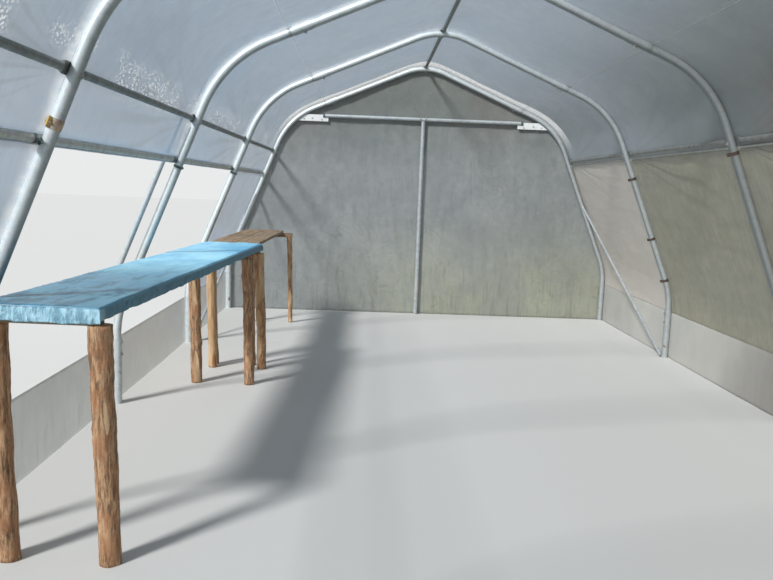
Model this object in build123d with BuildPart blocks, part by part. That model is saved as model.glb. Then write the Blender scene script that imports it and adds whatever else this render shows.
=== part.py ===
"""Garden polytunnel: galvanised hoops, purlins, film cover, end walls and potting benches.

The frame is in millimetres. X runs across the tunnel, Y along it towards the closed far end,
Z up. The origin is on the ground in the middle of the floor plan.
"""
from build123d import *
from math import acos, atan2, cos, hypot, sqrt, tan
import os

# Tunnel size: the hoops' centre line, as sharp corners and the bends that round them
bay_count = 5
bay_length = 2000
foot_half_width = 2145
knee_height = 575
leg_run = 645
leg_rise = 1585
roof_rise = 635
knee_radius = 700
shoulder_radius = 740
apex_radius = 560

# Hoop tubes, each hoop made of two side bends and one apex bend
tube_radius = 25
fit_clearance = 0.3
socket_wall = 3
socket_depth = 100
socket_root = 20
roof_joint_inset = 440
foot_wall = 3.2
foot_height = 430
foot_overlap = 180

# Purlins: tubes one bay long, with ends pressed flat and lapped over the hoops
purlin_radius = 16
tab_thickness = 3
tab_width = 50
tab_reach = 22
crimp_length = 60
crimp_start = 110
side_purlin_drop = 370

# Left side rail, its guide tube and the roof wires
rail_radius = 21
rail_drop = 625
guide_radius = 17
guide_rise = 235
guide_spacing = 60
wire_radius = 2
wire_drop = 40

# Film, drawn thicker than the real sheet
film_thickness = 3
cover_overhang = 35
cover_margin = 1
skirt_height = 410
closed_far_bay_count = 1
open_bay_count = 2
right_seam_drop = 30

# End walls
bar_radius = 20
bar_rise = 40
bar_end_gap = 290
gusset_thickness = 6
gusset_depth = 62
gusset_lap = 55
gusset_outer_gap = 0.6
post_radius = 22
door_half_width = 600
batten_height = 12
batten_width = 30
batten_tail = 455

# Wind braces from the end hoops down to the feet of the next hoops
brace_radius = 12
brace_top = 1300
brace_bottom = 25
brace_overrun = 10

# Potting bench along the left side, against one hoop and turned a little from the tunnel's line
bench_top = 967
bench_length = 3230
bench_width = 420
bench_overrun = 120
bench_turn = -2.4
board_thickness = 25
board_gap = 6
board_count = 3
bearer_height = 40
bearer_width = 60
pole_radius = 40
pole_lean = 30
sheet_thickness = 3
sheet_fall = 48
sheet_slack = 6
bench_pole_right_inset = 4
bench_pole_left_inset = 380
bench_pole_spacing = 480

# Second bench, bare boards behind the first
second_top = 952
second_length = 2120
second_width = 380
second_inset = 690
second_board_count = 2
second_pole_radius = 24
second_pole_inset = 60
second_bearer_reach = 100

os.makedirs("parts", exist_ok=True)

# Places worked out from the sizes above
tunnel_length = bay_count * bay_length
hoop_places = [tunnel_length / 2 - bay_length * i for i in range(bay_count + 1)]
far_end = hoop_places[0]
near_end = hoop_places[-1]
open_far = hoop_places[closed_far_bay_count]
open_near = hoop_places[closed_far_bay_count + open_bay_count]
shoulder_half_width = foot_half_width - leg_run
shoulder_height = knee_height + leg_rise
apex_height = shoulder_height + roof_rise
roof_joint_half_width = shoulder_half_width - roof_joint_inset
side_purlin_height = shoulder_height - side_purlin_drop
rail_height = shoulder_height - rail_drop
bar_height = shoulder_height + bar_rise
socket_radius = tube_radius + fit_clearance + socket_wall
foot_radius = tube_radius + fit_clearance + foot_wall
tab_step = tab_thickness + fit_clearance
tab_bend = apex_radius + tube_radius + 2 * tab_step
tab_sag = tab_bend - sqrt(tab_bend**2 - (tab_width / 2) ** 2)
film_offset = tube_radius + 2 * tab_step + tab_sag + fit_clearance
cover_half_width = foot_half_width + film_offset + film_thickness + cover_margin
cover_top = apex_height + film_offset + film_thickness
leg_length = hypot(leg_run, leg_rise)
roof_length = hypot(shoulder_half_width, roof_rise)
foot_normal = Vector(1, 0)
leg_normal = Vector(leg_rise, leg_run) / leg_length
roof_normal = Vector(roof_rise, shoulder_half_width) / roof_length
left_roof_normal = Vector(-roof_normal.X, roof_normal.Y)
roof_pitch = atan2(roof_rise, shoulder_half_width)
apex_round_drop = apex_radius * (1 / cos(roof_pitch) - 1)


def save(piece, name):
    """Label a finished piece and write its file."""
    piece.part.label = name
    export_step(piece.part, f"parts/{name}.step")


def across(y):
    """Upright plane across the tunnel at a place along it: local x is X, local y is Z."""
    return Plane(origin=(0, y, 0), x_dir=(1, 0, 0), z_dir=(0, -1, 0))


def offset_corner(corner, normal_a, normal_b, distance):
    """Corner of two lines after both have moved outwards by a distance."""
    return Vector(corner) + (normal_a + normal_b) * (distance / (1 + normal_a.dot(normal_b)))


def leg_centre(height):
    """Distance of the leg's centre line from the middle at a height between knee and shoulder."""
    return foot_half_width - leg_run * (height - knee_height) / leg_rise


def roof_centre(half_width):
    """Height of the straight roof slope's centre line at a distance from the middle."""
    return apex_height - roof_rise * half_width / shoulder_half_width


def roof_half_width(height):
    """Distance from the middle of the straight roof slope's centre line at a height."""
    return shoulder_half_width * (apex_height - height) / roof_rise


def rounded_line(points, radii):
    """Straight runs through points, with a tangent arc of its own radius at each inner corner."""
    start = Vector(*points[0])
    for corner, after, radius in zip(points[1:-1], points[2:], radii):
        corner = Vector(*corner)
        into = (corner - start).normalized()
        out = (Vector(*after) - corner).normalized()
        cut = radius * tan(acos(into.dot(out)) / 2)
        Line(start, corner - into * cut)
        TangentArc(corner - into * cut, corner + out * cut, tangent=into)
        start = corner + out * cut
    Line(start, points[-1])


def hoop_face(distance):
    """Area under the hoop shape down to the ground, moved out from its centre line."""
    foot = Vector(foot_half_width + distance, 0)
    knee = offset_corner((foot_half_width, knee_height), foot_normal, leg_normal, distance)
    shoulder = offset_corner((shoulder_half_width, shoulder_height), leg_normal, roof_normal, distance)
    apex = offset_corner((0, apex_height), roof_normal, left_roof_normal, distance)
    right = [foot, knee, shoulder]
    left = [Vector(-point.X, point.Y) for point in reversed(right)]
    bends = [knee_radius, shoulder_radius, apex_radius, shoulder_radius, knee_radius]
    with BuildSketch(mode=Mode.PRIVATE) as area:
        with BuildLine():
            rounded_line([*right, apex, *left], [bend + distance for bend in bends])
            Line(left[-1], foot)
        make_face()
    return area.sketch_local


def film_band(bottom_left, bottom_right, top_left=apex_height, top_right=apex_height):
    """Section of the film between heights on the left and on the right, open underneath."""
    reach = cover_half_width
    add(hoop_face(film_offset + film_thickness))
    add(hoop_face(film_offset), mode=Mode.SUBTRACT)
    for side, bottom, top in ((-1, bottom_left, top_left), (1, bottom_right, top_right)):
        with Locations((side * reach / 2, bottom / 2)):
            Rectangle(reach, bottom, mode=Mode.SUBTRACT)
        if top < apex_height:
            above = cover_top - top
            with Locations((side * reach / 2, top + above / 2)):
                Rectangle(reach, above, mode=Mode.SUBTRACT)


def tube_between(start, end, radius, wall=0.0):
    """Straight round tube or bar from one point to another."""
    axis = Vector(*end) - Vector(*start)
    with BuildSketch(Plane(origin=start, z_dir=axis)) as section:
        Circle(radius)
        if wall:
            Circle(radius - wall, mode=Mode.SUBTRACT)
    extrude(section.sketch, amount=axis.length)


def bent_bar(points, radii, radius):
    """Round bar in the upright plane across the origin, through points with rounded corners."""
    with BuildLine() as centre_line:
        rounded_line([Vector(point.X, 0, point.Y) for point in points], radii)
    path = centre_line.wires()[0]
    with BuildSketch(Plane(origin=path @ 0, z_dir=path % 0)) as section:
        Circle(radius)
    sweep(section.sketch, path=path)


def box_between(low, high):
    """Upright block between two opposite corners."""
    centre = (Vector(*low) + Vector(*high)) / 2
    size = Vector(*high) - Vector(*low)
    with Locations(centre):
        Box(size.X, size.Y, size.Z)


# Foot tubes
def foot_row(side):
    with BuildPart() as feet:
        for y in hoop_places:
            base = (side * foot_half_width, y, 0)
            top = (side * foot_half_width, y, foot_height)
            tube_between(base, top, foot_radius, foot_wall)
    return feet


save(foot_row(-1), "left_foot_tubes")
save(foot_row(1), "right_foot_tubes")


# Hoops: the side bends end in sockets that take the apex bend
def side_bend(side):
    joint = Vector(side * roof_joint_half_width, roof_centre(roof_joint_half_width))
    along = Vector(-side * roof_normal.Y, roof_normal.X)
    bottom = Vector(side * foot_half_width, foot_height - foot_overlap)
    knee = Vector(side * foot_half_width, knee_height)
    shoulder = Vector(side * shoulder_half_width, shoulder_height)
    bent_bar([bottom, knee, shoulder, joint], [knee_radius, shoulder_radius], tube_radius)
    root = joint - along * socket_root
    socket_axis = Vector(along.X, 0, along.Y)
    with BuildSketch(Plane(origin=(root.X, 0, root.Y), z_dir=socket_axis)) as socket:
        Circle(socket_radius)
    extrude(socket.sketch, amount=socket_root + socket_depth)
    with BuildSketch(Plane(origin=(joint.X, 0, joint.Y), z_dir=socket_axis)) as bore:
        Circle(tube_radius + fit_clearance)
    extrude(bore.sketch, amount=socket_depth, mode=Mode.SUBTRACT)


def apex_bend():
    start = roof_joint_half_width - fit_clearance * cos(roof_pitch)
    left = Vector(-start, roof_centre(start))
    right = Vector(start, roof_centre(start))
    bent_bar([left, Vector(0, apex_height), right], [apex_radius], tube_radius)


with BuildPart() as hoop_pattern:
    side_bend(-1)
    side_bend(1)
    apex_bend()

for number, y in enumerate(hoop_places, start=1):
    with BuildPart() as hoop:
        with Locations((0, y, 0)):
            add(hoop_pattern.part)
    save(hoop, f"hoop_{number}")


# Purlins
def purlin_row(centre, normal):
    """One tube a bay. Its far tab lies on the hoop and its near tab on the next tube's tab."""
    low_tab = tube_radius + fit_clearance + tab_thickness / 2
    outward = Vector(normal.X, 0, normal.Y)
    hoop_centre = Vector(centre.X, 0, centre.Y)
    axis = hoop_centre + outward * (film_offset - fit_clearance - purlin_radius)
    with BuildPart() as purlin:
        for y in hoop_places[:-1]:
            for end, sign, level in ((y, -1, low_tab), (y - bay_length, 1, low_tab + tab_step)):
                round_end = end + sign * crimp_start
                flat_end = round_end - sign * crimp_length
                tab_end = end - sign * tab_reach
                facing = Vector(0, sign, 0)
                flat_place = hoop_centre + outward * level + Vector(0, flat_end, 0)
                with BuildSketch(Plane(flat_place, outward, facing)):
                    Ellipse(tab_thickness / 2, tab_width / 2)
                with BuildSketch(Plane(axis + Vector(0, round_end, 0), outward, facing)):
                    Circle(purlin_radius)
                loft()
                with BuildSketch(Plane(flat_place, outward, facing)):
                    Rectangle(tab_thickness, tab_width)
                extrude(amount=-abs(flat_end - tab_end))
            start = axis + Vector(0, y - crimp_start, 0)
            finish = axis + Vector(0, y - bay_length + crimp_start, 0)
            tube_between(start, finish, purlin_radius)
    return purlin


side_place = Vector(leg_centre(side_purlin_height), side_purlin_height)
ridge_place = Vector(0, apex_height - apex_round_drop)
save(purlin_row(ridge_place, Vector(0, 1)), "ridge_purlin")
save(purlin_row(side_place, leg_normal), "right_purlin")
save(purlin_row(Vector(-side_place.X, side_place.Y), Vector(-leg_normal.X, leg_normal.Y)), "left_purlin")

# Left side rail: tubes that butt behind the hoops
rail_offset = tube_radius + fit_clearance + rail_radius
rail_centre = Vector(leg_centre(rail_height), rail_height) + leg_normal * rail_offset
rail_inset = batten_width / 2 + fit_clearance
rail_ends = [far_end - rail_inset, *hoop_places[1:-1], near_end + rail_inset]
with BuildPart() as left_rail:
    for far, near in zip(rail_ends, rail_ends[1:]):
        tube_between(
            (-rail_centre.X, far - fit_clearance / 2, rail_centre.Y),
            (-rail_centre.X, near + fit_clearance / 2, rail_centre.Y),
            rail_radius,
        )
save(left_rail, "left_rail")

# Guide tube outside the rail, beside the hoop in the middle of the open bays
guide_offset = rail_offset + rail_radius + fit_clearance + guide_radius
guide_y = hoop_places[closed_far_bay_count + 1] - guide_spacing
guide_top = rail_height + guide_rise
guide_knee = offset_corner((foot_half_width, knee_height), foot_normal, leg_normal, guide_offset)
guide_end = Vector(leg_centre(guide_top), guide_top) + leg_normal * guide_offset
with BuildPart() as guide_pattern:
    guide_points = [
        Vector(-guide_knee.X, 0),
        Vector(-guide_knee.X, guide_knee.Y),
        Vector(-guide_end.X, guide_end.Y),
    ]
    bent_bar(guide_points, [knee_radius], guide_radius)
with BuildPart() as guide_tube:
    with Locations((0, guide_y, 0)):
        add(guide_pattern.part)
save(guide_tube, "guide_tube")


# Roof wires, just outboard of the tube joints, between the hoops and the film
def roof_wire(side):
    half_width = roof_joint_half_width + wire_drop
    foot_point = Vector(half_width, roof_centre(half_width))
    place = foot_point + roof_normal * (tube_radius + fit_clearance + wire_radius)
    with BuildPart() as wire:
        tube_between(
            (side * place.X, far_end + tube_radius, place.Y),
            (side * place.X, near_end - tube_radius, place.Y),
            wire_radius,
        )
    return wire


save(roof_wire(-1), "left_roof_wire")
save(roof_wire(1), "right_roof_wire")

# Film over the roof, from the left rail to the seam under the right purlin
cover_end = far_end + cover_overhang
cover_left = rail_centre.Y + rail_radius + fit_clearance
side_left_top = rail_centre.Y - rail_radius - fit_clearance
side_film_bottom = skirt_height + fit_clearance
right_seam_height = side_purlin_height - right_seam_drop
with BuildPart() as roof_cover:
    with BuildSketch(across(cover_end)):
        film_band(cover_left, right_seam_height)
    extrude(amount=2 * cover_end)
save(roof_cover, "roof_cover")

# Side film under the right purlin
with BuildPart() as right_side_film:
    with BuildSketch(across(cover_end)):
        film_band(cover_top, side_film_bottom, top_right=right_seam_height - fit_clearance)
    extrude(amount=2 * cover_end)
save(right_side_film, "right_side_film")


# Side films under the left rail, which leave the middle bays open
def left_side_film(start, end):
    with BuildPart() as film:
        with BuildSketch(across(start)):
            film_band(side_film_bottom, cover_top, top_left=side_left_top)
        extrude(amount=start - end)
    return film


save(left_side_film(cover_end, open_far - tube_radius), "left_side_film_far")
save(left_side_film(open_near + tube_radius, -cover_end), "left_side_film_near")


# Skirts along the ground
def skirt(side):
    inner = foot_half_width + film_offset
    with BuildPart() as strip:
        box_between(
            (min(side * inner, side * (inner + film_thickness)), -cover_end, 0),
            (max(side * inner, side * (inner + film_thickness)), cover_end, skirt_height),
        )
    return strip


save(skirt(-1), "left_skirt")
save(skirt(1), "right_skirt")

# End walls: film stretched outside the end hoops
wall_offset = max(foot_radius, socket_radius) + fit_clearance
wall_edge = film_offset - fit_clearance
with BuildPart() as far_wall_film:
    with BuildSketch(across(far_end + wall_offset + film_thickness)):
        add(hoop_face(wall_edge))
    extrude(amount=film_thickness)
save(far_wall_film, "far_wall_film")


def near_wall_piece(low, high):
    """Part of the near wall's film inside a window given by two corners."""
    with BuildPart() as piece:
        with BuildSketch(across(near_end - wall_offset)):
            add(hoop_face(wall_edge))
            with Locations(((low[0] + high[0]) / 2, (low[1] + high[1]) / 2)):
                Rectangle(high[0] - low[0], high[1] - low[1], mode=Mode.INTERSECT)
        extrude(amount=film_thickness)
    return piece


door_film_edge = door_half_width - post_radius
wall_pieces = {
    "near_wall_film_left": ((-cover_half_width, 0), (-door_film_edge, bar_height)),
    "near_wall_film_right": ((door_film_edge, 0), (cover_half_width, bar_height)),
    "near_wall_film_top": ((-cover_half_width, bar_height + fit_clearance), (cover_half_width, cover_top)),
}
for name, (low, high) in wall_pieces.items():
    save(near_wall_piece(low, high), name)


# Cross bars between the legs of the end hoops
bar_half_length = roof_half_width(bar_height) - bar_end_gap
gusset_inner = bar_half_length - gusset_lap


def cross_bar(y):
    with BuildPart() as bar:
        tube_between((-bar_half_length, y, bar_height), (bar_half_length, y, bar_height), bar_radius)
    return bar


save(cross_bar(far_end), "far_cross_bar")
save(cross_bar(near_end), "near_cross_bar")


# Gusset plates that hang the cross bars in the shoulders of the end hoops
def gussets(y):
    bottom = bar_height - gusset_depth
    top = bar_height + bar_radius / 2
    edge = tube_radius + gusset_outer_gap
    reach = shoulder_half_width
    with BuildPart() as plates:
        with BuildSketch(across(y + gusset_thickness / 2)):
            add(hoop_face(-edge))
            with Locations((0, (bottom + top) / 2)):
                Rectangle(2 * reach, top - bottom, mode=Mode.INTERSECT)
            with Locations((0, (bottom + top) / 2)):
                Rectangle(2 * gusset_inner, top - bottom, mode=Mode.SUBTRACT)
            with Locations((0, bar_height)):
                bar_room = 2 * (bar_half_length + fit_clearance)
                Rectangle(bar_room, 2 * (bar_radius + fit_clearance), mode=Mode.SUBTRACT)
        extrude(amount=gusset_thickness)
    return plates


save(gussets(far_end), "far_gussets")
save(gussets(near_end), "near_gussets")

# Posts under the cross bars
post_top = bar_height - bar_radius - fit_clearance
with BuildPart() as far_centre_post:
    tube_between((0, far_end, 0), (0, far_end, post_top), post_radius)
save(far_centre_post, "far_centre_post")

with BuildPart() as door_posts:
    for side in (-1, 1):
        x = side * door_half_width
        tube_between((x, near_end, 0), (x, near_end, post_top), post_radius)
save(door_posts, "door_posts")


# Battens that clamp the cover round the end hoops
batten_bottom = rail_height - batten_tail


def clamp_batten(y):
    inner = film_offset + film_thickness + fit_clearance
    with BuildPart() as batten:
        with BuildSketch(across(y + batten_width / 2)):
            add(hoop_face(inner + batten_height))
            add(hoop_face(inner), mode=Mode.SUBTRACT)
            with Locations((0, batten_bottom / 2)):
                Rectangle(2 * (cover_half_width + batten_height), batten_bottom, mode=Mode.SUBTRACT)
        extrude(amount=batten_width)
    return batten


save(clamp_batten(far_end), "far_clamp_batten")
save(clamp_batten(near_end), "near_clamp_batten")


# Wind braces
def brace_pair(end_y, next_y):
    towards = 1 if next_y > end_y else -1
    top_x = leg_centre(brace_top)
    foot_gap = foot_radius + brace_radius + fit_clearance
    turn = atan2(foot_half_width - foot_gap - top_x, bay_length)
    bottom_x = foot_half_width - foot_gap / cos(turn)
    slope = Vector(bottom_x - top_x, towards * bay_length, brace_bottom - brace_top).normalized()
    cut_reach = brace_radius * sqrt(1 - slope.Y**2)
    top_y = end_y + towards * (tube_radius + fit_clearance + cut_reach)
    with BuildPart() as braces:
        for side in (-1, 1):
            top = Vector(top_x, top_y, brace_top)
            bottom = Vector(bottom_x, next_y, brace_bottom) + slope * brace_overrun
            tube_between((side * top.X, top.Y, top.Z), (side * bottom.X, bottom.Y, bottom.Z), brace_radius)
    return braces


save(brace_pair(far_end, hoop_places[1]), "far_braces")
save(brace_pair(near_end, hoop_places[-2]), "near_braces")

# Potting bench, in its own plane: local x runs to the left over the boards, local y along them
bench_back = leg_centre(bench_top) - (tube_radius + fit_clearance) / leg_normal.X
sheet_margin = sheet_slack + sheet_thickness
leg_touch = Plane(origin=(-bench_back, open_near, 0)).rotated((0, 0, bench_turn))
bench_corner = leg_touch.from_local_coords(Vector(bench_width + sheet_margin, -bench_overrun))
bench_base = leg_touch.shift_origin(bench_corner)
boards_top = bench_top - sheet_thickness - fit_clearance
boards_bottom = boards_top - board_thickness
bearer_bottom = boards_bottom - bearer_height


def boards(base, top, length, width, count):
    """Row of boards whose right edge lies on the plane's y axis."""
    each = (width - board_gap * (count - 1)) / count
    with BuildPart() as row:
        with BuildSketch(base.offset(top - board_thickness)):
            for i in range(count):
                with Locations((-each / 2 - i * (each + board_gap), length / 2)):
                    Rectangle(each, length)
        extrude(amount=board_thickness)
    return row


def bearers(base, bottom, places, left, rights):
    """Cross pieces under the boards, from the left edge to a right end for each place."""
    with BuildPart() as row:
        with BuildSketch(base.offset(bottom)):
            for place, right in zip(places, rights):
                with Locations(((left + right) / 2, place)):
                    Rectangle(right - left, bearer_width)
        extrude(amount=bearer_height)
    return row


def poles(base, height, spots, radius):
    """Poles under the bearers, their feet a little nearer the aisle. spots are (x, y) of their tops."""
    with BuildPart() as row:
        for x, y in spots:
            for level, shift in ((0, pole_lean), (height, 0)):
                with BuildSketch(base.offset(level)):
                    with Locations((x + shift, y)):
                        Circle(radius)
            loft()
    return row


bench_far_poles = bench_length - bearer_width / 2
bench_places = [bearer_width / 2, bench_far_poles - bench_pole_spacing, bench_far_poles]
bench_rows = [-bench_pole_right_inset, -bench_pole_left_inset]
bench_spots = [(x, place) for place in bench_places for x in bench_rows]
save(boards(bench_base, boards_top, bench_length, bench_width, board_count), "bench_boards")
save(bearers(bench_base, bearer_bottom, bench_places, -bench_width, [0, 0, 0]), "bench_bearers")
save(poles(bench_base, bearer_bottom, bench_spots, pole_radius), "bench_poles")

with BuildPart() as bench_sheet:
    for top, mode in ((bench_top, Mode.ADD), (bench_top - sheet_thickness, Mode.SUBTRACT)):
        margin = sheet_margin if mode == Mode.ADD else sheet_slack
        with BuildSketch(bench_base.offset(top)):
            with Locations((-bench_width / 2, bench_length / 2)):
                Rectangle(bench_width + 2 * margin, bench_length + 2 * margin)
        extrude(amount=-sheet_fall, mode=mode)
save(bench_sheet, "bench_sheet")

first_bench_end = leg_touch.from_local_coords(Vector(0, bench_length - bench_overrun + sheet_margin))
second_right = second_inset - foot_half_width
second_near = first_bench_end.Y + fit_clearance
second_base = Plane(origin=(second_right, second_near, 0))
second_bearer_bottom = second_top - board_thickness - bearer_height
second_places = [second_pole_inset, second_length - second_pole_inset]
second_rights = [0, second_bearer_reach]
second_spots = [
    (x, place)
    for place, right in zip(second_places, second_rights)
    for x in (right - second_pole_inset / 2, second_pole_inset - second_width)
]
second_boards = boards(second_base, second_top, second_length, second_width, second_board_count)
save(second_boards, "second_bench_boards")
save(
    bearers(second_base, second_bearer_bottom, second_places, -second_width, second_rights),
    "second_bench_bearers",
)
save(
    poles(second_base, second_bearer_bottom, second_spots, second_pole_radius),
    "second_bench_poles",
)
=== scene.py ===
import math

import bmesh
import bpy
import numpy as np
from mathutils import Matrix, Vector, noise


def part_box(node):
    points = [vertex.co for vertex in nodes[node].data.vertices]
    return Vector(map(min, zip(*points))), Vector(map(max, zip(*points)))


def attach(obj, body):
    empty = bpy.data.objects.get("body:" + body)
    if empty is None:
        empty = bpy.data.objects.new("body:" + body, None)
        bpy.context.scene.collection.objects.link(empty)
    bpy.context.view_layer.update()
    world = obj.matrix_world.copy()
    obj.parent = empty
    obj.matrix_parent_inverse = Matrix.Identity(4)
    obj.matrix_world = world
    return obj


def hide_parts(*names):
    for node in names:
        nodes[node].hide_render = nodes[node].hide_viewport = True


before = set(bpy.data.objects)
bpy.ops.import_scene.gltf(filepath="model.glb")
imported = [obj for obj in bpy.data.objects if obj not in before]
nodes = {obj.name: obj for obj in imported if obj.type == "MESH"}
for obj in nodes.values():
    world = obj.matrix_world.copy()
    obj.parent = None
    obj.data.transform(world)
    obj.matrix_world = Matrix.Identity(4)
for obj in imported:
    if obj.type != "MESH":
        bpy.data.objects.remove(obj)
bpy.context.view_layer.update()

scene = bpy.context.scene

# Sizes of the tunnel, in metres
BAY = 2.0
BAY_COUNT = 5
HOOP_PLACES = [BAY * BAY_COUNT / 2 - BAY * i for i in range(BAY_COUNT + 1)]
FAR_END = HOOP_PLACES[0]
NEAR_END = HOOP_PLACES[-1]
OPEN_FAR = HOOP_PLACES[1]
OPEN_NEAR = HOOP_PLACES[3]
FOOT_X = 2.145
KNEE_Z = 0.575
SHOULDER = (1.5, 2.16)
APEX_Z = 2.795
KNEE_RADIUS = 0.7
SHOULDER_RADIUS = 0.74
APEX_RADIUS = 0.56
TUBE_RADIUS = 0.025
CLEARANCE = 0.0003
RIDGE_PURLIN_Z = 2.746
SIDE_PURLIN_Z = 1.79
ROOF_BOLT_X = 1.012
ROOF_WIRE_X = 1.1
RAIL_Z = 1.535
RAIL_RADIUS = 0.021
BAR_Z = 2.2
BAR_HALF = 1.1155
BAR_RADIUS = 0.02
DOOR_EDGE = 0.578
BENCH_TOP = 0.967

# Film: how far it lies out from the hoops' centre line, and its edges
FILM_OFFSET = 0.03243
FILM_THICKNESS = 0.0012
FILM_GAP = 0.0004
FILM_LAP = 0.025
FILM_FOOT = 0.001
FILM_ENDS = (NEAR_END - 0.035, FAR_END + 0.035)
RIGHT_SEAM_Z = 1.76
SKIRT_TOP = 0.41

ROOT = "root"

# Camera, at the place and angle found from the hoops in the photograph
EYE = (-0.6001, -3.8804, 1.4196)
YAW, PITCH, ROLL = 0.02925, 0.12905, -0.03798
FOCAL_LENGTH = 779.86
PICTURE_WIDTH = 773
SENSOR_WIDTH = 36.0


def place_camera():
    """Camera inside the tunnel, looking to the far end."""
    forward = Vector((math.sin(YAW) * math.cos(PITCH), math.cos(YAW) * math.cos(PITCH), -math.sin(PITCH)))
    level = Vector((math.cos(YAW), -math.sin(YAW), 0))
    down = forward.cross(level)
    right = math.cos(ROLL) * level + math.sin(ROLL) * down
    below = -math.sin(ROLL) * level + math.cos(ROLL) * down
    data = bpy.data.cameras.new("camera")
    data.sensor_width = SENSOR_WIDTH
    data.lens = SENSOR_WIDTH * FOCAL_LENGTH / PICTURE_WIDTH
    data.clip_start = 0.02
    camera = bpy.data.objects.new("camera", data)
    scene.collection.objects.link(camera)
    turn = Matrix((right, -below, -forward)).transposed()
    camera.matrix_world = Matrix.Translation(EYE) @ turn.to_4x4()
    scene.camera = camera


place_camera()


# Shader nodes, written as sums
class Field:
    """What a node gives: a number, a colour or a place. Sums with it add the nodes that they need."""

    def __init__(self, graph, socket):
        self.graph = graph
        self.socket = socket

    def maths(self, operation, other=0.0):
        return self.graph.maths(operation, self, other)

    def __add__(self, other):
        return self.maths("ADD", other)

    def __sub__(self, other):
        return self.maths("SUBTRACT", other)

    def __mul__(self, other):
        return self.maths("MULTIPLY", other)

    def __radd__(self, other):
        return self.graph.maths("ADD", other, self)

    def __rsub__(self, other):
        return self.graph.maths("SUBTRACT", other, self)

    def __abs__(self):
        return self.maths("ABSOLUTE")

    def larger(self, other):
        return self.maths("MAXIMUM", other)

    def smaller(self, other):
        return self.maths("MINIMUM", other)

    def clamped(self):
        """The same sum, kept between 0 and 1."""
        self.socket.node.use_clamp = True
        return self

    def levels(self, low, high, to_low=0.0, to_high=1.0):
        """Soft step from to_low where this is low to to_high where it is high."""
        inputs = {"Value": self, "From Min": low, "From Max": high, "To Min": to_low, "To Max": to_high}
        return self.graph.add("ShaderNodeMapRange", "Result", inputs, interpolation_type="SMOOTHSTEP")

    def axes(self):
        """The three numbers of a place."""
        parts = self.graph.node("ShaderNodeSeparateXYZ", {"Vector": self}).outputs
        return [Field(self.graph, parts[axis]) for axis in "XYZ"]

    def mapped(self, scale=(1, 1, 1), turn=(0, 0, 0)):
        inputs = {"Vector": self, "Scale": scale, "Rotation": turn}
        return self.graph.add("ShaderNodeMapping", "Vector", inputs)

    def noise(self, scale, detail=3.0, roughness=0.55, distortion=0.0):
        inputs = {"Vector": self, "Scale": scale, "Detail": detail, "Roughness": roughness}
        return self.graph.add("ShaderNodeTexNoise", "Fac", {**inputs, "Distortion": distortion})

    def cells(self, scale, output="Distance"):
        return self.graph.add("ShaderNodeTexVoronoi", output, {"Vector": self, "Scale": scale})


class Graph:
    """Adds nodes to a tree and joins their sockets."""

    def __init__(self, tree):
        self.tree = tree

    def node(self, kind, inputs=(), **settings):
        made = self.tree.nodes.new(kind)
        for key, value in settings.items():
            setattr(made, key, value)
        for key, value in dict(inputs).items():
            self.set(made.inputs[key], value)
        return made

    def add(self, kind, output, inputs=(), **settings):
        """One output of a new node."""
        return Field(self, self.node(kind, inputs, **settings).outputs[output])

    def set(self, socket, value):
        if isinstance(value, Field):
            self.tree.links.new(value.socket, socket)
        elif socket.type == "RGBA":
            socket.default_value = (*value, 1)
        else:
            socket.default_value = value

    def place(self):
        return self.add("ShaderNodeTexCoord", "Object")

    def attribute(self, name):
        return self.add("ShaderNodeAttribute", "Fac", attribute_name=name)

    def maths(self, operation, first, second):
        return self.add("ShaderNodeMath", 0, {0: first, 1: second}, operation=operation)

    def mix(self, share, first, second, blend="MIX"):
        """Colour that goes from the first to the second by a share."""
        inputs = {0: share, 6: first, 7: second}
        return self.add("ShaderNodeMix", 2, inputs, data_type="RGBA", blend_type=blend)

    def layered(self, colour, *layers):
        """Colour with each (share, tint) laid over it in turn."""
        for share, tint in layers:
            colour = self.mix(share, colour, tint)
        return colour


SOCKET_KINDS = {"places": "NodeSocketVector", "colours": "NodeSocketColor", "numbers": "NodeSocketFloat"}


def shader_group(name, build, **inputs):
    """Shader node group with named inputs. build(graph, given) returns what it puts out, by name."""
    tree = bpy.data.node_groups.new(name, "ShaderNodeTree")
    for kind, keys in inputs.items():
        for key in keys:
            tree.interface.new_socket(key, in_out="INPUT", socket_type=SOCKET_KINDS[kind])
    entry = tree.nodes.new("NodeGroupInput")
    graph = Graph(tree)
    given = {key: Field(graph, entry.outputs[key]) for keys in inputs.values() for key in keys}
    made = build(graph, given)
    for key in made:
        kind = "colours" if key == "Base Color" else "numbers"
        tree.interface.new_socket(key, in_out="OUTPUT", socket_type=SOCKET_KINDS[kind])
    leave = tree.nodes.new("NodeGroupOutput")
    for key, field in made.items():
        graph.set(leave.inputs[key], field)
    return tree


def finish_material(name, group, values, bump, shine=(), grain_turn=None):
    """Material whose varying sockets come from a group, and whose constants sit on the shader.

    bump is a strength and a depth. grain_turn turns the grain, which runs along Z, to the piece.
    """
    material = bpy.data.materials.new(name)
    material.use_nodes = True
    graph = Graph(material.node_tree)
    shader = material.node_tree.nodes["Principled BSDF"]
    given = dict(values)
    if grain_turn is not None:
        given["Place"] = graph.place().mapped(turn=grain_turn)
    for socket in graph.node("ShaderNodeGroup", given, node_tree=group).outputs:
        if socket.name == "Height":
            raised = {"Height": Field(graph, socket), "Strength": bump[0], "Distance": bump[1]}
            graph.set(shader.inputs["Normal"], graph.add("ShaderNodeBump", "Normal", raised))
        else:
            graph.set(shader.inputs[socket.name], Field(graph, socket))
    for key, value in dict(shine).items():
        shader.inputs[key].default_value = value
    return material


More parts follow.
